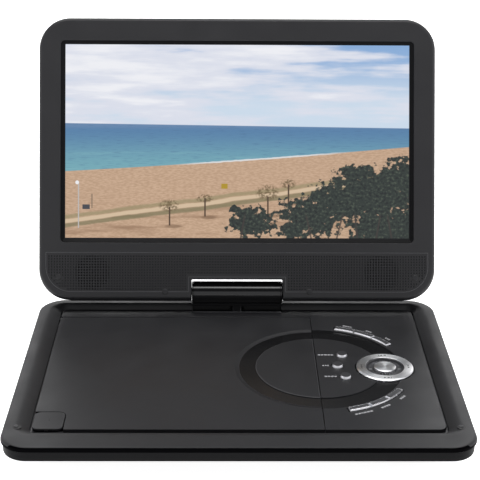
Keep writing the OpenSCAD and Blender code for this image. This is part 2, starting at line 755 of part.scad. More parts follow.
// A steel arm: its pivot shaft reaches into the barrel, its plate is screwed inside the lid.
module hinge_arm(s) {
    color("#8d9094") lid_place() mirror([s < 0 ? 1 : 0, 0, 0]) {
        rod_x([0, 0], shaft_r, ear_x - 1.4, notch_x + wall + 3);
        translate([notch_x + wall + 0.4, 0, 0]) difference() {
            union() {
                rod_x([0, 0], 2.5, 0, 2);
                box([0, -1, 0], [2, 1.4, 44]);
                box([0, 1.4, 28], [16, 2.6, 44]);
                box([0, 1.2, 20], [2, 2.6, 44]);
            }
            for (x = [7, 12]) rod_y([x, 36], 1.2, 0, 4);
        }
    }
}
module hinge_arm_left() { hinge_arm(-1); }
module hinge_arm_right() { hinge_arm(1); }

base_bottom_shell();
base_top_shell();
key_panel();
hinge_plate();
rubber_feet();
base_screws();
rim_bumpers();
battery_pack();
main_board();
board_chips();
button_board();
tact_switches();
dc_jack();
headphone_jack();
av_jack();
usb_port();
card_slot();
switch_body();
loader_chassis();
loader_dampers();
spindle_motor();
guide_rods();
sled_motor();
swivel_bush();
disc_lid();
open_button();
latch_slider();
small_button(0);  // setup_button
small_button(1);  // display_button
small_button(2);  // menu_button
nav_ring();
centre_button();
key(1, 0);  // upper_key_1
key(1, 1);  // upper_key_2
key(1, 2);  // upper_key_3
key(-1, 0);  // lower_key_1
key(-1, 1);  // lower_key_2
key(-1, 2);  // lower_key_3
power_switch();
spindle_hub();
optical_pickup();
pickup_lens();
lead_screw();
swivel_post();
hinge_bracket();
hinge_barrel();
barrel_end_caps();
lid_back_shell();
lid_bezel();
lcd_panel();
backlight();
display_board();
speaker_grilles();
speakers();
speaker_cones();
lid_screws();
screw_caps();
hinge_arm_left();
hinge_arm_right();
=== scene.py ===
"""Portable disc player: finished shells, keys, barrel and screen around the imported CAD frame.

Base pieces are drawn in millimetres with Y counted from the base's front edge, and BASE_PLACE moves
them to the row frame. Screen lid pieces are drawn flat, x across, v up from the hinge axis and h out
of the face, and LID_PLACE stands them on the hinge. Meshes are stored in metres.
"""

import math

import bmesh
import bpy
from mathutils import Matrix, Vector

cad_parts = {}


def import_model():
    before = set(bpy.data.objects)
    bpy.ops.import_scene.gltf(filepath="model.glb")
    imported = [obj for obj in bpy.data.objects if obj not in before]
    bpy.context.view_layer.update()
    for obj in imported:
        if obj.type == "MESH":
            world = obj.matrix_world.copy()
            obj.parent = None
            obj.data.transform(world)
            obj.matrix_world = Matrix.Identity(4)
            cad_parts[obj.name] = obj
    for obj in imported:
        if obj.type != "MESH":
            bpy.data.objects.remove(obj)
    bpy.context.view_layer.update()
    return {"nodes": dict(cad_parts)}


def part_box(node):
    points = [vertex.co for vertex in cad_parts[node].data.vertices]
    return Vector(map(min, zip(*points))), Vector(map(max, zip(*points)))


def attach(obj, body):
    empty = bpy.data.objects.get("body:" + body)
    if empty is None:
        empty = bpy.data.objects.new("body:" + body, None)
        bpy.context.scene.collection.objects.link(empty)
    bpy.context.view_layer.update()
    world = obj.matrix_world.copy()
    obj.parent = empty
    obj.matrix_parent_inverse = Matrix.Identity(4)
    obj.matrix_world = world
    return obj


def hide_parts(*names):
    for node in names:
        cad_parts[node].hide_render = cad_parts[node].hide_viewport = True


MM = 0.001
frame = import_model()

# ---- sizes the CAD source also uses, in millimetres ----

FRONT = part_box("base_top_shell")[0].y / MM
HALF_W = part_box("base_top_shell")[1].x / MM
BASE_D = 186
BASE_R = 15
RIM_Z = 22
SEAM_Z = 19
SLOPE_Z = 18
SLOPE_STEPS = 12                  # loops down the rim's inner slope
LIP_FALL = 1.6                    # height of the rounding at the rim's outer edge
DECK_Z = 18.5
LEDGE_Z = 16.3
SPLIT_X = 47.1
DECK_X0, DECK_X1 = -113.5, 114
DECK_Y0, DECK_Y1 = 25.3, 178
PLATE_Y0, STEP_Y = 174.5, 181
LID_REAR_Y = 165.8
TIP_Y = 167                       # front edge of the strip that reaches over the disc lid's knuckle
RING_C = (48.2, 98.5)
RING_R, RING_IN_R = 50, 37.6
NAV_C = (87.8, 97.4)
NAV_R, NAV_IN_R, CENTRE_R = 17.2, 10.8, 6.7
SMALL_R = 3.4
SMALL_REACH = 27.6                # the small buttons' arc, from its middle
SMALL_TURNS = [math.radians(a) for a in (150, 180, 210)]
SMALL_AT = [(NAV_C[0] - 0.5 + SMALL_REACH * math.cos(t), NAV_C[1] + 2.4 + SMALL_REACH * math.sin(t))
            for t in SMALL_TURNS]
KEY_R0, KEY_R1 = 51.4, 55.6
KEY_A0, KEY_A1 = 32, 75.5
KEY_FOOT_Z = 15.2
STEM = (1.2, 14.2, 15.3)          # radius, foot and top of the pin under a key of the deck
NAV_STEM = (1.2, -4.3, -3.2)      # the same from the deck's top
GROOVE_Z = DECK_Z - 0.6
OPEN_X1, OPEN_Y1 = -95.8, 44.6    # the disc lid's cut for the open button
DISC_C = (-33, 98.5)
SWIVEL = (0, 179.5)
HINGE_Z = 31.2
LEAN = math.radians(22)
BARREL_R, BARREL_L, BARREL_Z = 7.4, 58.6, -0.9
POST_R, POST_HOLE_R = 4.2, 4.4
CUP_R, CUP_IN_R, CUP_FLOOR_Z = 13, 11.2, 5.8
PAN_LO, PAN_HI = (-124.5, 24), (124.5, 178)
FEET = [(-100, 42), (100, 42), (-100, 160), (100, 160)]
SCREWS = [(-115, 33), (115, 33), (-115, 168.5), (115, 168.5), (40, 33), (40, 168.5)]
SOCKET_Z = 9.1
LID_LO, LID_HI, LID_R = (-128, -5.6), (128, 176.6), 20
FACE_H, PART_H = 8.6, 3.0
NOTCH_X, NOTCH_V = 29.6, 7.8
WINDOW_LO, WINDOW_HI = (-114, 31.6), (114, 162)
PICTURE_W, PICTURE_H, PICTURE_V = 222.4, 125.1, 34.7
SPEAKERS = [(-93.3, 12.2), (93.3, 12.2)]
CAPS = [(-115.3, 9.1), (115.3, 9.1), (-46.6, 0.1), (46.6, 0.1)]

BASE_PLACE = Matrix.Translation((0, FRONT * MM, 0))
HINGE_PLACE = Matrix.Translation((0, (FRONT + SWIVEL[1]) * MM, HINGE_Z * MM))
NAV_PLACE = Matrix.Translation((NAV_C[0] * MM, (FRONT + NAV_C[1]) * MM, DECK_Z * MM))
LID_PLACE = HINGE_PLACE @ Matrix.Rotation(-LEAN, 4, "X") @ Matrix.Rotation(math.pi / 2, 4, "X")


# ---- outlines ----

def arc(c, r, a0, a1, n=12):
    """Points on an arc, angles in degrees."""
    turns = [math.radians(a0 + (a1 - a0) * i / n) for i in range(n + 1)]
    return [(c[0] + r * math.cos(t), c[1] + r * math.sin(t)) for t in turns]


def mix(a, b, share):
    return a + (b - a) * share


def circle(c, r, n=64):
    return arc(c, r, 0, 360 * (n - 1) / n, n - 1)


def round_box(lo, hi, r, n=12):
    return (arc((hi[0] - r, hi[1] - r), r, 0, 90, n) + arc((lo[0] + r, hi[1] - r), r, 90, 180, n)
            + arc((lo[0] + r, lo[1] + r), r, 180, 270, n) + arc((hi[0] - r, lo[1] + r), r, 270, 360, n))


def shrunk(lo, hi, d):
    """The corners of a box moved inwards by d."""
    return (lo[0] + d, lo[1] + d), (hi[0] - d, hi[1] - d)


def polar(c, r, a):
    return (c[0] + r * math.cos(math.radians(a)), c[1] + r * math.sin(math.radians(a)))


def area(points):
    return sum(a[0] * b[1] - b[0] * a[1] for a, b in zip(points, points[1:] + points[:1])) / 2


def inset(points, d):
    """The outline moved inwards by d with mitred corners, point for point."""
    if abs(d) < 1e-9:
        return list(points)
    side = 1 if area(points) > 0 else -1
    moved = []
    count = len(points)
    for i, p in enumerate(points):
        before = Vector(p) - Vector(points[i - 1])
        after = Vector(points[(i + 1) % count]) - Vector(p)
        before.normalize()
        after.normalize()
        n0 = Vector((-before.y, before.x)) * side
        n1 = Vector((-after.y, after.x)) * side
        share = max(0.35, 1 + n0.dot(n1))
        moved.append(tuple(Vector(p) + (n0 + n1) * (d / share)))
    return moved


def at_z(points, z):
    return [(x, y, z) for x, y in points]


def linked(name, data):
    """A new object in the scene."""
    obj = bpy.data.objects.new(name, data)
    bpy.context.scene.collection.objects.link(obj)
    return obj


# ---- closed solids ----

FRONT_EDGE = range(43, 58)         # the faces along the front, in a round_box loop with n = 16


class Solid:
    """Collects closed shells in millimetres, and makes one object from them."""

    def __init__(self):
        self.bm = bmesh.new()

    def _stack(self, rings, mats, closed):
        loops = [[self.bm.verts.new(p) for p in ring] for ring in rings]
        pairs = list(zip(loops, loops[1:]))
        if closed:
            pairs.append((loops[-1], loops[0]))
        for k, (a, b) in enumerate(pairs):
            for j in range(len(a)):
                i = (j + 1) % len(a)
                face = self.bm.faces.new((a[j], a[i], b[i], b[j]))
                mat = mats[k] if k < len(mats) else mats[-1]
                face.material_index = mat if isinstance(mat, int) else mat[j in FRONT_EDGE]
        return loops[0], loops[-1]

    def shell(self, rings, mats=(0,), holes=(), hole_mats=(0,), cap_mats=(0, 0)):
        """A stack of rings closed by a cap at each end. holes are more stacks, from first to last cap."""
        ends = [self._stack(rings, mats, False)]
        ends += [self._stack(h, hole_mats, False) for h in holes]
        for which, mat in zip((0, 1), cap_mats):
            loops = [e[which] for e in ends]
            if len(loops) == 1:
                self.bm.faces.new(loops[0]).material_index = mat
                continue
            edges = [self.bm.edges.get((v, loop[(i + 1) % len(loop)]))
                     for loop in loops for i, v in enumerate(loop)]
            made = bmesh.ops.triangle_fill(self.bm, edges=edges, use_beauty=True)
            for g in made["geom"]:
                if isinstance(g, bmesh.types.BMFace):
                    g.material_index = mat
        return self

    def ring(self, rings, mats=(0,)):
        """A stack whose last ring joins its first, such as a rim."""
        self._stack(rings, mats, True)
        return self

    def plate(self, outline, z0, z1, bevel=0.3, holes=(), mats=(0,), cap_mats=(0, 0), hole_bevel=None):
        """A flat plate with a rounded top edge, and holes with one too."""
        hole_bevel = bevel if hole_bevel is None else hole_bevel
        edge = [(0, z0), (0, z1 - bevel)] + [(bevel * (1 - math.cos(t)), z1 - bevel * (1 - math.sin(t)))
                                             for t in (0.52, 1.05, 1.571)]
        rings = [at_z(inset(outline, d), z) for d, z in edge]
        hole_rings = []
        for h in holes:
            grow = hole_bevel / bevel if bevel else 0
            hole_rings.append([at_z(inset(h, -d * grow), z if i < 1 else z1 - (z1 - z) * grow)
                               for i, (d, z) in enumerate(edge)])
        return self.shell(rings, mats, hole_rings, mats, cap_mats)

    def turned(self, profile, centre=(0, 0), n=72, mats=(0,), closed=False, axis="z"):
        """A profile of (radius, height) turned about an axis. An open one starts and ends at radius 0."""
        rings = []
        for r, z in profile:
            points = []
            for i in range(n):
                t = 2 * math.pi * i / n
                x, y = r * math.cos(t), r * math.sin(t)
                p = (centre[0] + x, centre[1] + y)
                points.append((z, *p) if axis == "x" else (*p, z))
            rings.append(points)
        before = set(self.bm.verts)
        self._stack(rings, mats, closed)
        new = [v for v in self.bm.verts if v not in before]
        bmesh.ops.remove_doubles(self.bm, verts=new, dist=1e-4)
        return self

    def disc(self, r, z0, z1, centre=(0, 0), n=72, mats=(0,)):
        return self.turned([(0, z0), (r, z0), (r, z1), (0, z1)], centre, n, mats)

    def tube(self, r0, r1, z0, z1, centre, n):
        return self.turned([(r0, z0), (r1, z0), (r1, z1), (r0, z1)], centre, n, closed=True)

    def box(self, lo, hi, mats=(0,)):
        rect = [(lo[0], lo[1]), (hi[0], lo[1]), (hi[0], hi[1]), (lo[0], hi[1])]
        return self.shell([at_z(rect, lo[2]), at_z(rect, hi[2])], mats, cap_mats=(mats[0], mats[0]))

    def rod_x(self, y, z, r, x0, x1, n=48):
        return self.turned([(0, x0), (r, x0), (r, x1), (0, x1)], (y, z), n, axis="x")

    def make(self, name, materials, place=BASE_PLACE, cuts=None, sharp=32, flat=False):
        """flat keeps the piece's own tilted axes, for a material that is drawn along them."""
        bmesh.ops.scale(self.bm, vec=(MM, MM, MM), verts=self.bm.verts)
        bmesh.ops.dissolve_degenerate(self.bm, dist=1e-8, edges=self.bm.edges)
        bmesh.ops.recalc_face_normals(self.bm, faces=self.bm.faces)
        mesh = bpy.data.meshes.new(name)
        self.bm.to_mesh(mesh)
        self.bm.free()
        obj = linked(name, mesh)
        set_place(obj, place, flat)
        for m in materials:
            mesh.materials.append(m)
        if cuts is not None:
            cut(obj, cuts, place)
        smooth(obj, sharp)
        return obj


def set_place(obj, place, flat=False):
    """Stands the piece in its place, with its mesh along the frame's axes unless flat is set."""
    if flat:
        obj.matrix_world = place
        return
    obj.data.transform(place.to_3x3().to_4x4())
    obj.matrix_world = Matrix.Translation(place.translation)


def smooth(obj, sharp):
    obj.data.polygons.foreach_set("use_smooth", [True] * len(obj.data.polygons))
    obj.data.set_sharp_from_angle(angle=math.radians(sharp))
    normals = obj.modifiers.new("normals", "WEIGHTED_NORMAL")
    normals.keep_sharp = True
    normals.weight = 70


def cut(obj, cutter, place, how="DIFFERENCE"):
    """Cuts obj with the shells in cutter, and keeps the result as obj's mesh."""
    tool = cutter.make("cutter", [], place)
    tool.modifiers.clear()
    step = obj.modifiers.new("cut", "BOOLEAN")
    step.operation = how
    step.solver = "EXACT"
    step.use_self = True
    step.object = tool
    bpy.context.view_layer.update()
    graph = bpy.context.evaluated_depsgraph_get()
    result = bpy.data.meshes.new_from_object(obj.evaluated_get(graph))
    obj.modifiers.clear()
    old = obj.data
    obj.data = result
    bpy.data.meshes.remove(old)
    bpy.data.objects.remove(tool)


def set_on(obj, body, slot, *nodes):
    """Rides on a body and stands for CAD nodes, which it hides. slot is not used."""
    if nodes:
        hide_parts(*nodes)
    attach(obj, body)
    return obj


# ---- materials ----

def new_material(name):
    material = bpy.data.materials.new(name)
    material.use_nodes = True
    tree = material.node_tree
    tree.nodes.clear()
    out = tree.nodes.new("ShaderNodeOutputMaterial")
    shader = tree.nodes.new("ShaderNodeBsdfPrincipled")
    tree.links.new(shader.outputs["BSDF"], out.inputs["Surface"])
    return material, tree, shader


def fill(node, **values):
    """Sets inputs of the node. An underscore stands for a space."""
    for name, value in values.items():
        node.inputs[name.replace("_", " ")].default_value = value


def noise(tree, scale, detail=3.0, stretch=(1, 1, 1)):
    coords = tree.nodes.new("ShaderNodeTexCoord")
    mapping = tree.nodes.new("ShaderNodeMapping")
    mapping.inputs["Scale"].default_value = stretch
    tex = tree.nodes.new("ShaderNodeTexNoise")
    fill(tex, Scale=scale, Detail=detail)
    tree.links.new(coords.outputs["Object"], mapping.inputs["Vector"])
    tree.links.new(mapping.outputs["Vector"], tex.inputs["Vector"])
    return tex.outputs["Fac"]


def ranged(tree, value, low, high, start=0.3, end=0.7):
    node = tree.nodes.new("ShaderNodeMapRange")
    fill(node, From_Min=start, From_Max=end, To_Min=low, To_Max=high)
    tree.links.new(value, node.inputs["Value"])
    return node.outputs["Result"]


def tint(tree, value, dark, light):
    node = tree.nodes.new("ShaderNodeMix")
    node.data_type = "RGBA"
    node.inputs[6].default_value = (*dark, 1)
    node.inputs[7].default_value = (*light, 1)
    tree.links.new(value, node.inputs[0])
    return node.outputs[2]


def relief(tree, shader, height, strength, distance=0.0001):
    bump = tree.nodes.new("ShaderNodeBump")
    fill(bump, Strength=strength, Distance=distance)
    tree.links.new(height, bump.inputs["Height"])
    tree.links.new(bump.outputs["Normal"], shader.inputs["Normal"])


def plastic(name, colour, rough, grain=3200, bump=0.25, specular=0.5, spread=0.12, vary=0.05, coat=0.0):
    """Moulded plastic: a fine spark-eroded grain, slow patches of sheen and a slight change of colour."""
    material, tree, shader = new_material(name)
    patches = noise(tree, 45, 2)
    fine = noise(tree, grain, 3)
    dark = tuple(c * (1 - vary) for c in colour)
    light = tuple(c * (1 + vary) for c in colour)
    tree.links.new(tint(tree, ranged(tree, patches, 0, 1), dark, light), shader.inputs["Base Color"])
    tree.links.new(ranged(tree, patches, rough * (1 - spread), rough * (1 + spread)),
                   shader.inputs["Roughness"])
    shader.inputs["Specular IOR Level"].default_value = specular
    shader.inputs["Coat Weight"].default_value = coat
    shader.inputs["Coat Roughness"].default_value = 0.08
    relief(tree, shader, fine, bump)
    return material


def metal(name, colour, rough, stretch=(1, 1, 1), grain=900, bump=0.15, vary=0.12, aniso=0.0):
    """Metal with fine lines along the short axis of stretch."""
    material, tree, shader = new_material(name)
    lines = noise(tree, grain, 4, stretch)
    dark = tuple(c * (1 - vary) for c in colour)
    tree.links.new(tint(tree, ranged(tree, lines, 0, 1), dark, colour), shader.inputs["Base Color"])
    tree.links.new(ranged(tree, lines, rough * 0.75, rough * 1.25), shader.inputs["Roughness"])
    shader.inputs["Metallic"].default_value = 1.0
    shader.inputs["Anisotropic"].default_value = aniso
    relief(tree, shader, lines, bump, 0.00003)
    return material


def spun(name, colour, rough):
    """Spun aluminium: fine circles about the piece's own middle."""
    material, tree, shader = new_material(name)
    coords = tree.nodes.new("ShaderNodeTexCoord")
    rings = tree.nodes.new("ShaderNodeTexWave")
    rings.wave_type = "RINGS"
    rings.rings_direction = "Z"
    fill(rings, Scale=900, Distortion=3, Detail=2)
    tree.links.new(coords.outputs["Object"], rings.inputs["Vector"])
    tangent = tree.nodes.new("ShaderNodeTangent")
    tangent.direction_type = "RADIAL"
    tangent.axis = "Z"
    tree.links.new(tangent.outputs["Tangent"], shader.inputs["Tangent"])
    tree.links.new(tint(tree, rings.outputs["Fac"], tuple(c * 0.9 for c in colour), colour),
                   shader.inputs["Base Color"])
    tree.links.new(ranged(tree, rings.outputs["Fac"], rough * 0.85, rough * 1.15, 0, 1),
                   shader.inputs["Roughness"])
    shader.inputs["Metallic"].default_value = 1.0
    shader.inputs["Anisotropic"].default_value = 0.8
    shader.inputs["Anisotropic Rotation"].default_value = 0.25
    return material


class Value:
    """A node socket that adds, multiplies and compares like a number."""

    def __init__(self, tree, socket):
        self.tree, self.socket = tree, socket

    def _math(self, how, *others):
        node = self.tree.nodes.new("ShaderNodeMath")
        node.operation = how
        for i, x in enumerate((self, *others)):
            if isinstance(x, Value):
                self.tree.links.new(x.socket, node.inputs[i])
            else:
                node.inputs[i].default_value = x
        return Value(self.tree, node.outputs[0])

    def __add__(self, other):
        return self._math("ADD", other)

    def __sub__(self, other):
        return self._math("SUBTRACT", other)

    def __mul__(self, other):
        return self._math("MULTIPLY", other)

    def power(self, other):
        return self._math("POWER", other)

    def least(self, other):
        return self._math("MINIMUM", other)

    def most(self, other):
        return self._math("MAXIMUM", other)

    def size(self):
        return self._math("ABSOLUTE")

    def step(self, start, end):
        """0 below start and 1 above end, smooth between. start may be the larger."""
        node = self.tree.nodes.new("ShaderNodeMapRange")
        node.interpolation_type = "SMOOTHSTEP"
        fill(node, From_Min=start, From_Max=end)
        self.tree.links.new(self.socket, node.inputs["Value"])
        return Value(self.tree, node.outputs["Result"])


def over(tree, below, colour, share):
    """colour painted over below where share is 1. Either colour is a socket or three numbers."""
    node = tree.nodes.new("ShaderNodeMix")
    node.data_type = "RGBA"
    tree.links.new(share.socket, node.inputs[0])
    for slot, c in ((6, below), (7, colour)):
        if isinstance(c, tuple):
            node.inputs[slot].default_value = (*c, 1)
        else:
            tree.links.new(c, node.inputs[slot])
    return node.outputs[2]


def linear(r, g, b):
    """An 8-bit screen colour as linear light."""
    return tuple(c / 255 / 12.92 if c <= 10 else ((c / 255 + 0.055) / 1.055) ** 2.4 for c in (r, g, b))


def patterned(tree, u, w, scale_u, scale_w, detail=4.0, seed=0.0):
    """Noise over the picture, with its own scale each way."""
    join = tree.nodes.new("ShaderNodeCombineXYZ")
    tree.links.new((u * scale_u).socket, join.inputs[0])
    tree.links.new((w * scale_w).socket, join.inputs[1])
    join.inputs[2].default_value = seed
    tex = tree.nodes.new("ShaderNodeTexNoise")
    fill(tex, Scale=1.0, Detail=detail)
    tree.links.new(join.outputs[0], tex.inputs["Vector"])
    return Value(tree, tex.outputs["Fac"])


def sky(tree, u, w):
    height = (w - 0.6) * 2.5
    colour = over(tree, linear(206, 222, 238), linear(138, 174, 218), height.step(0.15, 1.0))
    veil = patterned(tree, u + w * 0.5, w, 2.6, 13, 6, 3.1)
    puffs = patterned(tree, u, w, 9, 22, 6, 9.4)
    cover = veil + (puffs - 0.5) * 0.35 + (height - 0.62).size() * -0.18 + u * -0.14
    colour = over(tree, colour, linear(222, 226, 238), cover.step(0.2, 0.42))
    return over(tree, colour, linear(242, 243, 248), cover.step(0.4, 0.6))


def sea(tree, u, w):
    depth = w.step(0.34, 0.585)
    swell = patterned(tree, u, w, 30, 230, 3, 5.0)
    streaks = patterned(tree, u, w, 5, 60, 3, 1.7)
    colour = over(tree, linear(118, 172, 184), linear(86, 128, 170), depth)
    colour = over(tree, colour, linear(104, 136, 174), w.step(0.555, 0.585))
    colour = over(tree, colour, linear(128, 180, 190), streaks.step(0.52, 0.7) * w.step(0.5, 0.38) * 0.6)
    return over(tree, colour, linear(76, 112, 150), swell.step(0.5, 0.72) * 0.45)


def sand(tree, u, w):
    grains = patterned(tree, u, w, 90, 160, 4, 2.2)
    drifts = patterned(tree, u, w, 5, 26, 4, 7.7)
    colour = over(tree, linear(186, 154, 126), linear(206, 174, 146), grains.step(0.3, 0.7))
    colour = over(tree, colour, linear(158, 126, 100), drifts.step(0.48, 0.72) * w.step(0.3, 0.05))
    rise = u * 0.235 + 0.085
    wander = (patterned(tree, u, w, 9, 9, 3, 4.0) - 0.5) * 0.02
    off = w - rise + wander
    colour = over(tree, colour, linear(150, 140, 104), (off - 0.022).size().step(0.016, 0.004) * 0.7)
    colour = over(tree, colour, linear(214, 190, 160), off.size().step(0.013, 0.006))
    return over(tree, colour, linear(120, 116, 84), (off + 0.022).size().step(0.016, 0.006) * 0.75)


def blob(tree, u, w, cu, cw, ru, rw):
    """1 inside an ellipse, 0 outside, with a soft edge to be broken up by noise."""
    du, dw = (u - cu) * (1 / ru), (w - cw) * (1 / rw)
    return Value(tree, (du * du + dw * dw).socket) * -1.0 + 1.0


def trees(tree, u, w, colour):
    """Bare young trees on the sand, then the dark pines at the lower right."""
    twigs = patterned(tree, u, w, 150, 90, 5, 6.6)
    for cu, cw, ru, rw in ((0.302, 0.168, 0.036, 0.036), (0.405, 0.205, 0.030, 0.026),
                           (0.588, 0.235, 0.040, 0.048), (0.648, 0.28, 0.026, 0.03)):
        shade = blob(tree, u, w, cu + 0.012, cw - rw - 0.072, ru * 0.9, 0.012).step(0.0, 0.8)
        colour = over(tree, colour, linear(132, 104, 80), shade * 0.7)
        crown = blob(tree, u, w, cu, cw, ru, rw).step(0.0, 0.7) * twigs.step(0.4, 0.58)
        colour = over(tree, colour, linear(104, 88, 58), crown * 0.8)
        width = (u - (cu + 0.001)).size().step(0.0030, 0.0016)
        height = (w - (cw - rw - 0.02)).size().step(0.05, 0.046)
        colour = over(tree, colour, linear(84, 66, 50), width * height)
    leaves = patterned(tree, u, w, 70, 42, 6, 8.3)
    lights = patterned(tree, u, w, 120, 75, 5, 2.9)
    mass = None
    for cu, cw, ru, rw in ((0.9, 0.22, 0.16, 0.15), (0.85, 0.33, 0.062, 0.055), (0.72, 0.12, 0.1, 0.12),
                           (0.98, 0.3, 0.08, 0.12), (0.545, 0.085, 0.075, 0.085), (0.495, 0.15, 0.02, 0.022),
                           (0.8, 0.19, 0.1, 0.12), (0.95, 0.05, 0.14, 0.14), (0.66, 0.04, 0.05, 0.05)):
        one = blob(tree, u, w, cu, cw, ru, rw)
        mass = one if mass is None else mass.most(one)
    dark = (mass + (leaves - 0.5) * 3.2).step(0.02, 0.3)
    colour = over(tree, colour, linear(46, 54, 49), dark)
    colour = over(tree, colour, linear(82, 92, 78), dark * lights.step(0.52, 0.68) * 0.75)
    colour = over(tree, colour, linear(26, 30, 30), dark * lights.step(0.48, 0.34) * 0.8)
    for cu, lean in ((0.51, 0.1), (0.715, -0.12), (0.79, 0.14), (0.85, -0.06), (0.905, 0.1), (0.95, -0.1)):
        trunk = (u - (w * lean + cu)).size().step(0.0034, 0.0018) * w.step(0.14, 0.1)
        colour = over(tree, colour, linear(62, 56, 52), trunk * 0.8)
    return colour


def details(tree, u, w, colour):
    """A lamp post, a sign, a bench and the white line of surf."""
    pole = (u - 0.0385).size().step(0.0022, 0.0012) * (w - 0.17).size().step(0.122, 0.118)
    colour = over(tree, colour, linear(190, 186, 184), pole)
    lamp = blob(tree, u, w, 0.0345, 0.286, 0.006, 0.011).step(0.0, 0.4)
    colour = over(tree, colour, linear(240, 240, 242), lamp)
    sign = (u - 0.4625).size().step(0.0094, 0.0088) * (w - 0.268).size().step(0.0132, 0.0126)
    colour = over(tree, colour, linear(176, 146, 40), sign)
    bench = (u - 0.0605).size().step(0.011, 0.0104) * (w - 0.16).size().step(0.0125, 0.0115)
    colour = over(tree, colour, linear(70, 72, 78), bench)
    post = (u - 0.0775).size().step(0.0018, 0.001) * (w - 0.19).size().step(0.038, 0.036)
    return over(tree, colour, linear(120, 104, 88), post)


def picture():
    """The lit screen: a plain seaside of our own, drawn over the picture area, with a black surround."""
    material, tree, shader = new_material("lit_picture")
    coords = tree.nodes.new("ShaderNodeTexCoord")
    split = tree.nodes.new("ShaderNodeSeparateXYZ")
    tree.links.new(coords.outputs["Object"], split.inputs[0])
    x, v = Value(tree, split.outputs[0]), Value(tree, split.outputs[1])
    u = x * (1 / (PICTURE_W * MM)) + 0.5
    w = (v - PICTURE_V * MM) * (1 / (PICTURE_H * MM))
    horizon = w - 0.592 + u * 0.022
    shore = w - (u * 0.10 + 0.343) - (u * u * 0.03)
    wash = patterned(tree, u, w, 40, 40, 3, 1.1)
    colour = over(tree, sand(tree, u, w), sea(tree, u, w), shore.step(-0.002, 0.003))
    surf = (shore + (wash - 0.5) * 0.008).size().step(0.006, 0.0015) * u.step(0.3, 0.42) * u.step(0.86, 0.7)
    colour = over(tree, colour, linear(226, 228, 230), surf * 0.9)
    colour = over(tree, colour, sky(tree, u, w), horizon.step(-0.002, 0.002))
    colour = trees(tree, u, w, colour)
    colour = details(tree, u, w, colour)
    inside = (u - 0.5).size().step(0.5003, 0.4997) * (w - 0.5).size().step(0.5004, 0.4996)
    colour = over(tree, (0.0, 0.0, 0.0), colour, inside)
    tree.links.new(colour, shader.inputs["Emission Color"])
    shader.inputs["Emission Strength"].default_value = 0.94
    shader.inputs["Base Color"].default_value = (0.006, 0.006, 0.008, 1)
    shader.inputs["Roughness"].default_value = 0.35
    shader.inputs["Specular IOR Level"].default_value = 0.25
    return material


RIM = plastic("rim_satin", (0.0155, 0.0155, 0.0165), 0.50, bump=0.18, specular=0.34)
DECK = plastic("deck_matt", (0.0138, 0.0138, 0.0152), 0.46, grain=2600, bump=0.22, specular=0.32)
GLOSS = plastic("black_gloss", (0.006, 0.006, 0.0065), 0.10, grain=600, bump=0.02)
GROOVE = plastic("ring_gloss", (0.005, 0.005, 0.0055), 0.24, grain=900, bump=0.05, specular=0.26)
# Near-black with almost no sheen. On the rim's seam, front lip and rear bulge it is partly the plastic's own
# black and partly painted shade, in place of the bright floor that a glossy lip would reflect; on the walls
# of the speaker holes it is painted shade.
BLACK_AND_SHADE = plastic("black_and_painted_shade", (0.0010, 0.0010, 0.0013), 0.40, bump=0.08, specular=0.01)
LOWER = plastic("lower_shell", (0.008, 0.008, 0.0085), 0.45, bump=0.3, specular=0.05)
BEZEL = plastic("bezel_satin", (0.012, 0.012, 0.0135), 0.45, grain=3000, bump=0.2, specular=0.4)
BACK = plastic("lid_back", (0.013, 0.013, 0.0145), 0.42, bump=0.2, specular=0.2)
BUTTON = plastic("button_dark", (0.030, 0.030, 0.033), 0.32, bump=0.15)
KEY_TOP = plastic("key_textured", (0.040, 0.040, 0.043), 0.45, grain=1500, bump=0.9)
INK = plastic("white_ink", (0.33, 0.33, 0.34), 0.6, bump=0.1)
FINE_LINE = plastic("bezel_line", (0.05, 0.05, 0.053), 0.35, bump=0.1)
RUBBER = plastic("rubber", (0.012, 0.012, 0.012), 0.75, grain=1800, bump=0.5)
SPUN = spun("spun_silver", (0.90, 0.90, 0.91), 0.33)
SILVER = metal("key_silver", (0.86, 0.86, 0.88), 0.24, bump=0.05)
COLLAR = metal("collar_silver", (0.84, 0.84, 0.86), 0.38, bump=0.05)
STEEL = metal("steel_plate", (0.52, 0.53, 0.55), 0.32, stretch=(1, 8, 8), grain=700)
SCREW_STEEL = metal("screw_zinc", (0.62, 0.62, 0.64), 0.28, grain=1400)
BRASS = metal("brass", (0.78, 0.58, 0.25), 0.28, grain=1200)
SCREEN = picture()


# ---- base ----

def hinge_plan(side):
    """Outline of the plate that the barrel stands on."""
    x, y0, y1 = BARREL_L / 2 - 0.4 + side, PLATE_Y0 - side, 184 + side
    r = 11.7 + side
    reach = math.degrees(math.asin((y1 - SWIVEL[1]) / r))
    return [(-x, y0), (x, y0), (x, y1)] + arc(SWIVEL, r, reach, 180 - reach, 24) + [(-x, y1)]


def hinge_cutter(side, z0):
    return Solid().shell([at_z(hinge_plan(side), z0), at_z(hinge_plan(side), RIM_Z + 4)])


def rim_loop(side, front, back, r, z):
    return at_z(round_box((-HALF_W + side, front), (HALF_W - side, BASE_D - back), r, 16), z)


def rear_reach(r):
    """Angle at which a circle about the swivel comes out of the base's rear wall."""
    return math.degrees(math.asin((BASE_D - 0.9 - SWIVEL[1]) / r))


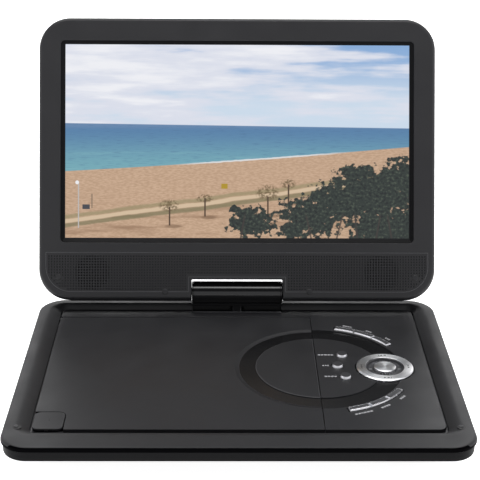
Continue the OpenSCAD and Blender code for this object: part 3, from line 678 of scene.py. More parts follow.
def rim_section():
    """Loops of the rim, from its seam up over the lip and the crown and down the inner slope.

    A material pair gives the finish of the sides, then that of the front edge."""
    loops = [rim_loop(0.3, 0.3, 0.3, BASE_R, SEAM_Z), rim_loop(0, 0, 0, BASE_R, SEAM_Z + 0.3)]
    mats = [2]
    for i in range(8):
        t = math.pi / 2 * i / 7
        run, rise = 1 - math.cos(t), math.sin(t)
        z = RIM_Z - LIP_FALL * (1 - rise)
        loops.append(rim_loop(3.6 * run, 0.7 * run, 0.7 * run, BASE_R - 2 * run, z))
        # Slot 2 on the lip's lower bands and most of the front edge: partly the lip's own black, partly
        # painted shade.
        mats.append((2 if i < 2 else 0, 2 if i < 6 else 0))
    for i in range(SLOPE_STEPS + 1):
        fall = (i / SLOPE_STEPS) ** 1.6
        run = fall ** 0.5
        lo = (mix(-123, DECK_X0 - 0.95, run), mix(12.4, 21.45, run))
        hi = (mix(123, DECK_X1 + 0.95, run), mix(BASE_D - 4.5, DECK_Y1 + 0.35, run))
        loops.append(at_z(round_box(lo, hi, mix(11, 5.55, run), 16), RIM_Z - (RIM_Z - SLOPE_Z) * fall))
        mats.append(0)
    foot = round_box((DECK_X0 - 0.9, 21.5), (DECK_X1 + 0.9, DECK_Y1 + 0.3), 5.5, 16)
    loops.append(at_z(foot, LEDGE_Z + 0.04))
    loops.append(rim_loop(3, 3, 3, BASE_R - 3, LEDGE_Z + 0.04))
    loops.append(rim_loop(3, 3, 3, BASE_R - 3, SEAM_Z))
    return loops, mats + [1, 1, 1]


def base_rim():
    loops, mats = rim_section()
    solid = Solid().ring(loops, mats)
    bulge = [(13.7, SEAM_Z), (14, SEAM_Z + 0.3), (14, RIM_Z - 0.7),
             (13.8, RIM_Z - 0.25), (13.3, RIM_Z - 0.05)]
    reach = rear_reach(14)
    solid.shell([at_z(arc(SWIVEL, r, reach, 180 - reach, 40), z) for r, z in bulge], (2, 2, 0, 0))
    cuts = hinge_cutter(0.2, LEDGE_Z + 0.2).disc(11.3, 16, 18, SWIVEL)
    obj = solid.make("base_rim", [RIM, GLOSS, BLACK_AND_SHADE], cuts=cuts)
    return set_on(obj, "base", "rim_plastic", "base_top_shell")


def deck_frame():
    """The ledge and the disc well: the CAD shell below the rim."""
    source = frame["nodes"]["base_top_shell"].data
    mesh = source.copy()
    obj = linked("deck_frame", mesh)
    mesh.materials.clear()
    mesh.materials.append(WELL)
    cut(obj, Solid().box((-140, -10, 0), (140, 200, LEDGE_Z + 0.03)), BASE_PLACE, "INTERSECT")
    smooth(obj, 32)
    return set_on(obj, "base", "deck_plastic", "base_top_shell")


def tray_loop(side, z, n=16):
    return at_z(round_box(*shrunk((-HALF_W, 0), (HALF_W, BASE_D), side), BASE_R - side, n), z)


def pan_loop(side, z, n=16):
    return at_z(round_box(*shrunk(PAN_LO, PAN_HI, side), max(12 - side, 2), n), z)


def base_bottom():
    """The lower shell: a shallow tray under the rim, a pan below it, and the swivel's cup behind."""
    inner = [pan_loop(2.2, 3.3), pan_loop(1.8, 3.7), pan_loop(1.8, 14.9)]
    tray = [(4, 14.9), (2.8, SEAM_Z), (1, SEAM_Z), (1, 18.6), (1.05, 13.8), (1.25, 13.2), (1.75, 12.9),
            (2.6, 12.8)]
    pan = [(-0.35, 12.8), (0, 12.2), (0.4, 4), (0.9, 2.6), (1.7, 1.8), (2.8, 1.5)]
    solid = Solid().shell(inner + [tray_loop(d, z) for d, z in tray] + [pan_loop(d, z) for d, z in pan])
    cuts = Solid()
    for p in FEET:
        cuts.disc(6.05, 1, 2.3, p)
    for p in SCREWS:
        cuts.disc(2.8, 1, 4, p, 32)
    for i in range(9):
        slot = round_box((-80 + i * 9, 140), (-78 + i * 9, 160), 0.95, 6)
        cuts.shell([at_z(slot, 1), at_z(slot, 4)])
    cuts.disc(CUP_IN_R, CUP_FLOOR_Z, 20, SWIVEL)
    x0, x1 = PAN_HI[0] - 3, PAN_HI[0] + 1
    for y, r in ((58, 4.1), (72, 3.1), (84, 3.1)):
        cuts.rod_x(y, SOCKET_Z, r, x0, x1)
    for y, w, h in ((101, 7, 3.1), (126, 13, 1.9), (44, 5, 1.6)):
        cuts.box((x0, y - w, SOCKET_Z - h), (x1, y + w, SOCKET_Z + h))
    obj = solid.make("base_bottom", [LOWER], cuts=cuts)
    extra = Solid()
    for p in SCREWS:
        extra.turned([(1.6, 4.6), (1.6, 9.5), (3.4, 9.5), (3.4, 2.9), (2.85, 2.9), (2.85, 4.6)], p, 40,
                     closed=True)
    cup_z = LEDGE_Z - 0.1
    extra.turned([(0, 4), (11.6, 4), (12.6, 4.4), (CUP_R, 5.4), (CUP_R, cup_z), (CUP_IN_R, cup_z),
                  (CUP_IN_R, CUP_FLOOR_Z), (0, CUP_FLOOR_Z)], SWIVEL)
    reach = rear_reach(CUP_R)
    rear = arc(SWIVEL, CUP_R, reach, 180 - reach, 40)
    extra.shell([at_z(rear, cup_z + 0.005), at_z(rear, SEAM_Z)])
    bosses = extra.make("swivel_cup", [LOWER], cuts=hinge_cutter(0.2, LEDGE_Z))
    set_on(bosses, "base", "lower_plastic", "base_bottom_shell")
    return set_on(obj, "base", "lower_plastic", "base_bottom_shell")


def crossing(c, r, x):
    """Half the chord that the line at x cuts from the circle."""
    return math.sqrt(r * r - (x - c[0]) ** 2)


def nav_crossing(r):
    """Angle, from the ring's centre, where a circle of radius r meets the navigation hole."""
    hole = NAV_R + 0.5
    d = math.hypot(NAV_C[0] - RING_C[0], NAV_C[1] - RING_C[1])
    lean = math.degrees(math.atan2(NAV_C[1] - RING_C[1], NAV_C[0] - RING_C[0]))
    spread = math.degrees(math.acos((d * d + r * r - hole * hole) / (2 * d * r)))
    return lean - spread, lean + spread


def nav_angle(r, which):
    """The same point's angle from the navigation centre."""
    a = math.radians(nav_crossing(r)[which])
    p = (RING_C[0] + r * math.cos(a), RING_C[1] + r * math.sin(a))
    return math.degrees(math.atan2(p[1] - NAV_C[1], p[0] - NAV_C[0]))


def plate_notch():
    """The corners of the cut for the hinge plate in the panel's rear edge."""
    x, y = BARREL_L / 2, PLATE_Y0 - 0.3
    return [(x, DECK_Y1), (x, y), (-x, y), (-x, DECK_Y1)]


def panel_edge():
    """The key panel's outer edge, from its front right corner round to the rear left one."""
    points = arc((DECK_X1 - 4.5, DECK_Y0 + 4.5), 4.5, -90, 0, 8)
    points += arc((DECK_X1 - 4.5, DECK_Y1 - 4.5), 4.5, 0, 90, 8)
    points += plate_notch()
    return points + arc((DECK_X0 + 3.8, DECK_Y1 - 3.8), 3.8, 90, 180, 8)


def panel_outer_top():
    """The key panel's top outside the ring, with the strip behind the disc lid."""
    x0 = SPLIT_X + 0.2
    low, high = nav_crossing(RING_R)
    bottom = math.degrees(math.asin((x0 - RING_C[0]) / RING_R))
    points = [(x0, DECK_Y0)] + panel_edge()
    points += arc((DECK_X0 + 1, TIP_Y + 1), 1, 180, 270, 4) + [(x0, TIP_Y)]
    points += arc(RING_C, RING_R, 90 - bottom, high, 40)
    points += arc(NAV_C, NAV_R + 0.5, nav_angle(RING_R, 1), nav_angle(RING_R, 0), 40)[1:-1]
    return points + arc(RING_C, RING_R, low, -90 + bottom, 40)


def panel_inner_top():
    """The key panel's half of the round field inside the ring."""
    x0 = SPLIT_X + 0.2
    low, high = nav_crossing(RING_IN_R)
    bottom = math.degrees(math.asin((x0 - RING_C[0]) / RING_IN_R))
    a0, a1 = nav_angle(RING_IN_R, 0) % 360, nav_angle(RING_IN_R, 1) % 360
    return (arc(RING_C, RING_IN_R, -90 + bottom, low, 24) + arc(NAV_C, NAV_R + 0.5, a0, a1, 30)[1:-1]
            + arc(RING_C, RING_IN_R, high, 90 - bottom, 24))


def on_side(points, s):
    """The points as they are for the upper arc of keys, or mirrored for the lower one."""
    return points if s > 0 else [(x, 2 * RING_C[1] - y) for x, y in reversed(points)]


def key_outline(s, i, side=0.0):
    """A key's outline seen from above. s is 1 for the upper arc and -1 for the lower one."""
    step = (KEY_A1 - KEY_A0) / 3
    turn = math.degrees((side - 0.2) / KEY_R0)
    a0, a1 = KEY_A0 + step * i - turn, KEY_A0 + step * (i + 1) + turn
    return on_side(arc(RING_C, KEY_R1 + side, a0, a1, 14) + arc(RING_C, KEY_R0 - side, a1, a0, 14), s)


def key_well(s, side=0.3):
    """The hole in the panel for a whole arc of three keys."""
    turn = math.degrees(side / KEY_R0)
    a0, a1 = KEY_A0 - turn, KEY_A1 + turn
    return on_side(arc(RING_C, KEY_R1 + side, a0, a1, 36) + arc(RING_C, KEY_R0 - side, a1, a0, 36), s)


def key_panel():
    plate_z = DECK_Z - 2
    solid = Solid()
    solid.plate(panel_outer_top(), GROOVE_Z - 0.1, DECK_Z, 0.22, holes=[key_well(1), key_well(-1)],
                cap_mats=(0, 0))
    small = [circle(p, SMALL_R + 0.35, 40) for p in SMALL_AT]
    solid.plate(panel_inner_top(), GROOVE_Z - 0.1, DECK_Z, 0.22, holes=small)
    x0 = SPLIT_X + 0.2
    lower = [(x0, DECK_Y0)] + panel_edge() + [(DECK_X0, TIP_Y), (x0, TIP_Y)]
    holes = [circle(NAV_C, NAV_R + 0.5)] + small + [key_well(1), key_well(-1)]
    solid.shell([at_z(lower, plate_z), at_z(lower, GROOVE_Z)], (0,),
                [[at_z(h, plate_z), at_z(h, GROOVE_Z)] for h in holes], (0,), (0, 1))
    knuckle = Solid().rod_x(LID_REAR_Y, DECK_Z - 2, 2.15, DECK_X0 - 1, SPLIT_X + 0.1, 64)
    obj = solid.make("key_panel_finished", [DECK, GROOVE], cuts=knuckle)
    return set_on(obj, "base", "deck_plastic", "key_panel")


def lid_outer_top(slope, d):
    """The disc lid's top outside the ring, with the corner cut for the open button."""
    x1, r = SPLIT_X - 0.2 - d, RING_R - slope + d
    half = crossing(RING_C, r, x1)
    a = math.degrees(math.atan2(half, x1 - RING_C[0]))
    points = [(x1, DECK_Y0 + d), (x1, RING_C[1] - half)]
    points += arc(RING_C, r, 360 - a, a, 60)[1:-1]
    points += [(x1, RING_C[1] + half), (x1, LID_REAR_Y - d)]
    points += [(DECK_X0 + 0.9, LID_REAR_Y - d), (DECK_X0 + d, LID_REAR_Y - 0.9)]
    points += [(DECK_X0 + d, OPEN_Y1 + d)]
    points += arc((OPEN_X1 - 5, OPEN_Y1 - 5), 5 + d, 90, 0, 8)
    return points + [(OPEN_X1 + d, DECK_Y0 + d)]


def lid_inner_top(d):
    x1, r = SPLIT_X - 0.2 - d, RING_IN_R - d
    half = crossing(RING_C, r, x1)
    a = math.degrees(math.atan2(half, x1 - RING_C[0]))
    return arc(RING_C, r, a, 360 - a, 60)


def disc_lid():
    solid = Solid()
    soft = [(2.6, 0, GROOVE_Z - 0.1), (2.6, 0, GROOVE_Z), (2.0, 0, GROOVE_Z + 0.05), (1.2, 0, GROOVE_Z + 0.2),
            (0.5, 0, GROOVE_Z + 0.42), (0, 0.05, DECK_Z - 0.07), (0, 0.22, DECK_Z)]
    solid.shell([at_z(lid_outer_top(s, d), z) for s, d, z in soft], (0,), cap_mats=(0, 0))
    # The inner field's rounded top edge takes slot 2, a lighter grey: a painted highlight along the edge.
    solid.shell([at_z(lid_inner_top(d), z) for d, z in ((0, GROOVE_Z - 0.1), (0, DECK_Z - 0.3),
                                                        (0.1, DECK_Z - 0.1), (0.35, DECK_Z))], (0, 2, 2))
    edge = [(SPLIT_X - 0.2, DECK_Y0), (SPLIT_X - 0.2, LID_REAR_Y), (DECK_X0 + 0.9, LID_REAR_Y),
            (DECK_X0, LID_REAR_Y - 0.9), (DECK_X0, OPEN_Y1)]
    edge += arc((OPEN_X1 - 5, OPEN_Y1 - 5), 5, 90, 0, 8) + [(OPEN_X1, DECK_Y0)]
    solid.shell([at_z(edge, DECK_Z - 2), at_z(edge, GROOVE_Z)], cap_mats=(0, 1))
    solid.tube(58, 59.2, 15, 16.8, DISC_C, 96)
    solid.box((-90, 32, 11), (-88.4, 38, DECK_Z - 1.6))
    y, z = LID_REAR_Y, DECK_Z - 2
    solid.rod_x(y, z, 1.95, DECK_X0 + 1, SPLIT_X - 0.6)
    solid.rod_x(y, z, 1.2, DECK_X0 - 2.6, DECK_X0 + 2, 32)
    solid.rod_x(y, z, 1.2, SPLIT_X - 2, SPLIT_X + 2.6, 32)
    obj = solid.make("disc_lid_finished", [DECK, GROOVE, EDGE_HIGHLIGHT])
    return set_on(obj, "disc_lid", "deck_plastic", "disc_lid")


def open_button():
    solid = Solid()
    outline = round_box((DECK_X0 + 0.2, DECK_Y0 + 0.3), (-96.3, 44.1), 3.5, 8)
    solid.plate(outline, DECK_Z - 1.2, DECK_Z, 0.3)
    wedge = [(-103, DECK_Z - 1), (-103, 10.6), (-107, 14.6), (-107, DECK_Z - 1)]
    solid.shell([[(x, 33, z) for x, z in wedge], [(x, 37, z) for x, z in wedge]])
    solid.turned([(0, DECK_Z - 0.05), (0.55, DECK_Z - 0.05), (0.4, DECK_Z + 0.12), (0, DECK_Z + 0.16)],
                 (-104.6, 35.4), 24)
    obj = solid.make("open_button_finished", [DECK])
    return set_on(obj, "open_button", "deck_plastic", "open_button")


def hinge_plate():
    solid = Solid()
    solid.plate(hinge_plan(0), DECK_Z - 1.6, DECK_Z, 0.35, holes=[circle(SWIVEL, POST_HOLE_R)])
    rear = [p for p in hinge_plan(0) if p[1] > STEP_Y]
    step = Solid().plate([(rear[-1][0], STEP_Y), (rear[0][0], STEP_Y)] + rear, DECK_Z - 1.5, RIM_Z - 0.2, 0.3)
    cutter = Solid().disc(POST_HOLE_R, DECK_Z - 3, RIM_Z + 1, SWIVEL)
    raised = step.make("hinge_plate_step", [GLOSS], cuts=cutter)
    set_on(raised, "base", "gloss_black", "hinge_plate")
    # A lighter strip along the plate's front edge: a painted highlight.
    solid.plate(round_box((-28.9, 174.5), (28.9, 175.5), 0.3, 4), DECK_Z - 0.4, DECK_Z + 0.1, 0.12, mats=(1,),
                cap_mats=(1, 1))
    obj = solid.make("hinge_plate_finished", [GLOSS, PLATE_HIGHLIGHT])
    return set_on(obj, "base", "gloss_black", "hinge_plate")


def rim_bumpers():
    """Small round bumpers in the rim's front corners, each over a dark disc set off to the right and the
    front as a painted shadow.
    """
    solid = Solid()
    for x in (-120.6, 120.6):
        solid.turned([(0, RIM_Z - 0.4), (1.6, RIM_Z - 0.4), (1.6, RIM_Z + 0.1), (1.3, RIM_Z + 0.3),
                      (0.6, RIM_Z + 0.35), (0, RIM_Z + 0.35)], (x, 22.5), 40)
    obj = solid.make("rim_bumpers_finished", [RIM])
    set_on(obj, "base", "rubber", "rim_bumpers")
    # Dark discs under the bumpers, set off to the right and the front: painted shadows of the bumpers.
    shadow_discs = Solid()
    for x in (-120.6, 120.6):
        shadow_discs.disc(2.4, RIM_Z - 0.9, RIM_Z + 0.02, (x + 0.3, 21.9), 40)
    obj = shadow_discs.make("rim_bumper_painted_shadows", [SHADOW])
    return set_on(obj, "base", "rubber")


# ---- keys ----

def round_button(name, body, centre):
    """A dark top on a bright, slightly tapered collar."""
    top = DECK_Z + 1.5
    solid = Solid()
    solid.turned([(0, KEY_FOOT_Z), (SMALL_R, KEY_FOOT_Z), (SMALL_R, DECK_Z - 0.1),
                  (SMALL_R - 0.06, DECK_Z + 0.1), (SMALL_R - 0.5, top - 0.16), (SMALL_R - 0.6, top - 0.03),
                  (SMALL_R - 0.8, top), (1.4, top - 0.04), (0, top - 0.06)],
                 centre, 64, mats=(1, 1, 1, 1, 0, 0, 0, 0))
    solid.disc(*STEM, centre, 24, (1,))
    obj = solid.make(name + "_finished", [BUTTON, COLLAR], sharp=40)
    return set_on(obj, body, "dark_keys", name)


def nav_ring():
    """The spun ring, drawn about its own middle so that its lines run round it."""
    solid = Solid()
    solid.turned([(NAV_IN_R - 1.2, -3.3), (NAV_R, -3.3), (NAV_R, -0.1), (NAV_R - 0.15, 0.35),
                  (NAV_R - 0.7, 0.78), (NAV_R - 1.2, 0.9), (NAV_IN_R + 0.95, 0.9), (NAV_IN_R + 0.7, 0.82),
                  (NAV_IN_R, 0.1), (NAV_IN_R, -0.4), (NAV_IN_R - 1.2, -0.4)], (0, 0), 128,
                 mats=(1, 1, 1, 0, 0, 0, 0, 2, 2, 2, 1), closed=True)
    for k in range(4):
        solid.disc(*NAV_STEM, polar((0, 0), 14, 90 * k), 24, (1,))
    obj = solid.make("nav_ring_finished", [SPUN, SILVER, BUTTON], NAV_PLACE)
    set_on(obj, "nav_ring", "silver_keys", "nav_ring")
    marks = Solid()
    for k in range(4):
        nav_mark(marks, 90 * k)
    obj = marks.make("nav_marks", [MARK], NAV_PLACE)
    return set_on(obj, "nav_ring", "dark_keys")


def nav_mark(solid, angle):
    """A small pair of arrows and a bar, engraved on the ring at one of its four sides."""
    r, z0, z1, size = 14.0, 0.85, 0.915, 1.35
    along, across = polar((0, 0), 1, angle), polar((0, 0), 1, angle + 90)

    def at(a, b):
        out, side = r + a * size, b * size
        return (along[0] * out + across[0] * side, along[1] * out + across[1] * side)

    for shift in (-1.5, 0.1):
        tri = [at(-0.55, shift), at(0.55, shift), at(0, shift + 1.1)]
        solid.shell([at_z(tri, z0), at_z(tri, z1)])
    bar = [at(-0.55, 1.5), at(-0.55, 1.75), at(0.55, 1.75), at(0.55, 1.5)]
    solid.shell([at_z(bar, z0), at_z(bar, z1)])


def centre_button():
    solid = Solid()
    solid.turned([(0, -3.3), (CENTRE_R, -3.3), (CENTRE_R, 0.4), (CENTRE_R - 0.2, 0.8), (CENTRE_R - 0.6, 1.0),
                  (CENTRE_R - 1.0, 1.1), (2, 1.02), (0, 1.0)], (0, 0), 96, mats=(1, 1, 1, 0, 0, 0, 0))
    solid.disc(*NAV_STEM, (0, 0), 24, (1,))
    obj = solid.make("centre_button_finished", [SPUN, SILVER], NAV_PLACE)
    return set_on(obj, "centre_button", "silver_keys", "centre_button")


def tilted(c, half_length, half_height, angle):
    """The corners of a rectangle about c, with its length along the angle."""
    along, across = polar((0, 0), 1, angle), polar((0, 0), 1, angle + 90)
    corners = ((-half_length, -half_height), (half_length, -half_height),
               (half_length, half_height), (-half_length, half_height))
    return [(c[0] + along[0] * s + across[0] * t, c[1] + along[1] * s + across[1] * t) for s, t in corners]


def nav_floor():
    """The dark dish between the navigation ring and the centre button, with four light ticks."""
    solid = Solid()
    z = DECK_Z - 0.9
    solid.tube(CENTRE_R + 0.25, NAV_IN_R - 0.15, z - 1, z, NAV_C, 96)
    for k in range(4):
        quad = tilted(polar(NAV_C, 8.75, 90 * k), 0.9, 0.3, 90 * k)
        solid.shell([at_z(quad, z - 0.1), at_z(quad, z + 0.06)], (1,), cap_mats=(1, 1))
    obj = solid.make("nav_floor", [KEY_TOP, INK])
    return set_on(obj, "base", "dark_keys")


def arc_key(s, i):
    """A key of the arcs: a textured top within steep bright sides."""
    name = ("upper" if s > 0 else "lower") + f"_key_{i + 1}"
    top = DECK_Z + 0.9
    outline = key_outline(s, i)
    profile = [(0, KEY_FOOT_Z), (0, DECK_Z - 0.1), (0.1, DECK_Z + 0.2), (0.42, top - 0.05), (0.55, top),
               (0.62, top - 0.04)]
    rings = [at_z(inset(outline, d), z) for d, z in profile]
    solid = Solid().shell(rings, (0, 0, 0, 0, 0), cap_mats=(0, 1))
    mid = polar(RING_C, (KEY_R0 + KEY_R1) / 2, s * (KEY_A0 + (KEY_A1 - KEY_A0) * (i + 0.5) / 3))
    solid.disc(*STEM, mid, 24)
    obj = solid.make(name + "_finished", [SILVER, KEY_TOP], sharp=40)
    return set_on(obj, name, "silver_keys", name)


def bar(solid, c, length, height, angle, z):
    """A printed bar, standing in for a word."""
    quad = tilted(c, length / 2, height / 2, angle)
    solid.shell([at_z(quad, z - 0.05), at_z(quad, z + 0.025)])


def dashes(solid, c, lengths, height, angle, z, space=0.45):
    """A row of short printed bars centred on c."""
    total = sum(lengths) + space * (len(lengths) - 1)
    start = -total / 2
    for w in lengths:
        middle = polar(c, start + w / 2, angle)
        bar(solid, middle, w, height, angle, z)
        start += w + space


def printed_marks():
    """Rows of small plain bars where the keys' words would be, and an open sign on the open button."""
    solid = Solid()
    z = DECK_Z
    for p, lengths in zip(SMALL_AT, ((1.6, 1.3, 1.7, 1.4, 1.6), (1.1, 0.8, 1.0), (1.7, 1.3, 1.5, 1.4))):
        width = sum(lengths) + 0.45 * (len(lengths) - 1)
        dashes(solid, (p[0] - SMALL_R - 1.8 - width / 2, p[1] + 0.3), lengths, 1.35, 0, z)
    step = (KEY_A1 - KEY_A0) / 3
    sets = {1: ((1.0, 1.0, 0.8), (1.2, 0.9, 1.0), (1.3, 1.1, 1.2, 1.0)),
            -1: ((1.4, 1.1, 1.5), (1.4, 1.2, 1.3, 1.1), (1.7, 1.4, 0.8, 1.7, 1.6, 1.5))}
    for s, rows in sets.items():
        for i, lengths in enumerate(rows):
            a = KEY_A0 + step * (i + 0.5)
            dashes(solid, polar(RING_C, KEY_R1 + 3.4, s * a), lengths, 1.4, s * a - s * 90, z)
    obj = solid.make("printed_marks", [INK])
    return set_on(obj, "base", "dark_keys")


def pin_holes():
    """Two small flat dark dots between the round buttons: painted shade standing in for pin holes."""
    solid = Solid()
    for a, b in zip(SMALL_AT, SMALL_AT[1:]):
        c = ((a[0] + b[0]) / 2 + 0.4, (a[1] + b[1]) / 2)
        solid.disc(0.9, DECK_Z - 0.3, DECK_Z + 0.012, c, 24)
    obj = solid.make("pin_hole_painted_shade", [SHADOW])
    return set_on(obj, "base", "gloss_black")


# ---- hinge ----

def hinge_barrel():
    half = BARREL_L / 2 - 1.2
    solid = Solid()
    solid.turned([(BARREL_R - 1.4, -half), (BARREL_R - 0.12, -half), (BARREL_R, -half + 0.15),
                  (BARREL_R, half - 0.15), (BARREL_R - 0.12, half), (BARREL_R - 1.4, half)],
                 (0, BARREL_Z), 160, closed=True, axis="x")
    post = Solid().disc(POST_R, -BARREL_R - 3, -2)
    obj = solid.make("hinge_barrel_finished", [GLOSS], HINGE_PLACE, cuts=post)
    return set_on(obj, "swivel", "dark_chrome", "hinge_barrel")


def barrel_saddle():
    """The black block under the barrel, which hides the gap above the plate."""
    side = round_box((-4.6, -8.75), (4.6, BARREL_Z), 0.7, 5)
    half = BARREL_L / 2 + 0.15
    cap = BARREL_L / 2 - 1.2
    edge = [(0.4, -half), (0.1, -half + 0.1), (0, -half + 0.4),
            (0, half - 0.4), (0.1, half - 0.1), (0.4, half)]
    rings = [[(x, y, z) for y, z in inset(side, d)] for d, x in edge]
    solid = Solid().shell(rings)
    wide, narrow = BARREL_R + 0.03, BARREL_R - 0.4
    bore = Solid().turned([(0, -half - 1), (wide, -half - 1), (wide, -cap), (narrow, -cap), (narrow, cap),
                           (wide, cap), (wide, half + 1), (0, half + 1)], (0, BARREL_Z), 96, axis="x")
    bore.disc(POST_R, -BARREL_R - 3, -2)
    obj = solid.make("barrel_saddle", [GLOSS], HINGE_PLACE, cuts=bore)
    return set_on(obj, "swivel", "dark_chrome", "hinge_barrel")


def end_caps():
    solid = Solid()
    for s in (-1, 1):
        x1 = BARREL_L / 2
        x0 = x1 - 1.15
        profile = [(4, x0 - 3), (BARREL_R - 1.5, x0 - 3), (BARREL_R - 1.5, x0), (BARREL_R - 0.1, x0),
                   (BARREL_R, x0 + 0.1), (BARREL_R, x1 - 0.4), (BARREL_R - 0.35, x1 - 0.06),
                   (BARREL_R - 0.7, x1), (BARREL_R - 1.7, x1), (BARREL_R - 1.9, x1 - 0.25), (4, x1 - 0.25)]
        solid.turned([(r, s * x) for r, x in profile], (0, BARREL_Z), 128, closed=True, axis="x")
    obj = solid.make("barrel_end_caps_finished", [GLOSS], HINGE_PLACE)
    return set_on(obj, "swivel", "chrome", "barrel_end_caps")


# ---- screen lid ----

def lid_outline(d, notch_d, bottom=None, n=16):
    """The lid's outline moved in by d, with the notch for the barrel widened by notch_d."""
    bottom = d if bottom is None else bottom
    lo, hi = (LID_LO[0] + d, LID_LO[1] + bottom), (LID_HI[0] - d, LID_HI[1] - d)
    x, v = NOTCH_X + notch_d, NOTCH_V + notch_d
    r = LID_R - d
    points = round_box(lo, hi, r, n)
    left = points[:3 * (n + 1)]
    right = points[3 * (n + 1):]
    return left + [(-x, lo[1]), (-x, v - 0.8), (-x + 0.25, v - 0.25), (-x + 0.8, v), (x - 0.8, v),
                   (x - 0.25, v - 0.25), (x, v - 0.8), (x, lo[1])] + right


def band_outline(d=0.0, n=10):
    """The textured band across the bottom of the bezel, which goes over the notch."""
    x1, v0, v1 = 123.7 - d, -0.4 + d, 25.6 - d
    nx, nv = NOTCH_X + 1.4 + d, NOTCH_V + 1.4 + d
    r = 16.3 - d
    points = [(x1, v1), (-x1, v1)] + arc((-x1 + r, v0 + r), r, 180, 270, n)
    points += [(-nx, v0), (-nx, nv), (nx, nv), (nx, v0)]
    return points + arc((x1 - r, v0 + r), r, 270, 360, n)


def lid_bezel():
    """The front frame: a rounded outer edge, a stepped window lip and an opening for the band."""
    inner = FACE_H - 1.8
    rings = [(1.8, 1.0, inner), (1.8, 1.0, PART_H + 0.05), (0.1, 0.05, PART_H + 0.05),
             (0, 0, PART_H + 0.2), (0, 0, 6.2)]
    rings += [(2.4 * (1 - math.cos(t)), 0.5 * (1 - math.cos(t)), 6.2 + 2.4 * math.sin(t))
              for t in (0.26, 0.52, 0.79, 1.05, 1.31, 1.571)]
    stack = [at_z(lid_outline(d, n, 1.15 * d), h) for d, n, h in rings]
    window = [(0.0, inner), (0.0, FACE_H - 0.55), (-0.15, FACE_H - 0.2), (-0.5, FACE_H)]
    hole = [at_z(round_box(*shrunk(WINDOW_LO, WINDOW_HI, d), 2.6 - d, 8), h) for d, h in window]
    band = [at_z(band_outline(0.9), inner), at_z(band_outline(0.9), FACE_H)]
    solid = Solid().shell(stack, (0,), [hole, band], (0,))
    obj = solid.make("lid_bezel_finished", [BEZEL], LID_PLACE)
    return set_on(obj, "screen_lid", "lid_plastic", "lid_bezel")


def window_surround():
    """The sloped dark frame between the window's lip and the panel."""
    def loop(d, h):
        return at_z(round_box(*shrunk(WINDOW_LO, WINDOW_HI, d), max(2.6 - d, 0.3), 8), h)

    slope = [(-0.3, 5.6), (-0.3, 7.6), (0.1, 7.9), (0.6, 7.6), (2.2, 6.65), (2.3, 6.55), (2.3, 6.5)]
    solid = Solid().ring([loop(d, h) for d, h in slope])
    obj = solid.make("window_surround", [SURROUND], LID_PLACE)
    return set_on(obj, "screen_lid", "gloss_black")


def lid_back():
    rings = [(6, 0.9, -6.8), (2.6, 0.9, -3.4), (1.8, 0.9, 0), (1.8, 0.9, PART_H), (0.1, 0.05, PART_H),
             (0, 0, PART_H - 0.15), (0, 0, -2.6)]
    rings += [(6 * (1 - math.cos(t)), 0.6 * (1 - math.cos(t)), -2.6 - 6 * math.sin(t))
              for t in (0.2, 0.4, 0.6, 0.8, 1.0, 1.2, 1.4, 1.571)]
    stack = [at_z(lid_outline(d, n, d * 0.65), h) for d, n, h in rings]
    solid = Solid().shell(stack)
    for s in (-1, 1):
        for reach, drop, h0, h1 in ((108, 0.7, -3, PART_H - 0.1), (54, 0.4, -6, -2.9)):
            x0, x1 = sorted((s * (NOTCH_X + 0.4), s * reach))
            solid.box((x0, LID_LO[1] - drop, h0), (x1, LID_LO[1] + 1, h1))
    obj = solid.make("lid_back_finished", [BACK], LID_PLACE)
    return set_on(obj, "screen_lid", "lid_plastic", "lid_back_shell")


PITCH = 2 * SPEAKERS[1][0] / 106   # of the dimples, so that both speakers fall on a dimple


def speaker_band():
    """The waffle of square dimples, open through the face in front of the two speakers."""
    hole, top, dimple, back = 0.5, FACE_H + 0.02, FACE_H - 0.3, FACE_H - 1.4
    fence = band_outline(1.1)
    columns, xs = {}, []
    rows = range(-8, 9)
    first, last = -124, 17
    for i in range(first, last + 1):
        c = SPEAKERS[1][0] + i * PITCH
        xs += [c - PITCH / 2, c - hole, c + hole]
    xs.append(SPEAKERS[1][0] + last * PITCH + PITCH / 2)
    vs = []
    for j in rows:
        c = SPEAKERS[0][1] + j * PITCH
        vs += [c - PITCH / 2, c - hole, c + hole]
    vs.append(SPEAKERS[0][1] + rows[-1] * PITCH + PITCH / 2)
    plain = band_outline(-0.2)
    for i in range(first, last + 1):
        for k, j in enumerate(rows):
            c = (SPEAKERS[1][0] + i * PITCH, SPEAKERS[0][1] + j * PITCH)
            if not inside(c, plain):
                continue
            a, b = 3 * (i - first), 3 * k
            for p in range(3):
                for q in range(3):
                    columns[(a + p, b + q)] = top
            corners = [(c[0] + sx * hole, c[1] + sv * hole) for sx in (-1, 1) for sv in (-1, 1)]
            near_cap = min(math.hypot(c[0] - p[0], c[1] - p[1]) for p in CAPS) < 2.7
            if near_cap or not all(inside(p, fence) for p in corners):
                continue
            sound = any(((c[0] - p[0]) / PITCH) ** 2 + ((c[1] - p[1]) / PITCH) ** 2 <= 41.5 for p in SPEAKERS)
            columns[(a + 1, b + 1)] = None if sound else dimple
    obj = column_mesh("speaker_band", xs, vs, columns, back)
    # Slot 1, on the walls of the open holes, and slot 2, on the dimples' floors, are darker than the bezel:
    # painted shade in the holes and the dimples.
    obj.data.materials.append(BEZEL)
    obj.data.materials.append(BLACK_AND_SHADE)
    obj.data.materials.append(DIMPLE_SHADE)
    smooth(obj, 32)
    return set_on(obj, "screen_lid", "lid_plastic", "speaker_grilles")


def inside(p, outline):
    odd = False
    for a, b in zip(outline, outline[1:] + outline[:1]):
        if (a[1] > p[1]) != (b[1] > p[1]) and p[0] < (b[0] - a[0]) * (p[1] - a[1]) / (b[1] - a[1]) + a[0]:
            odd = not odd
    return odd


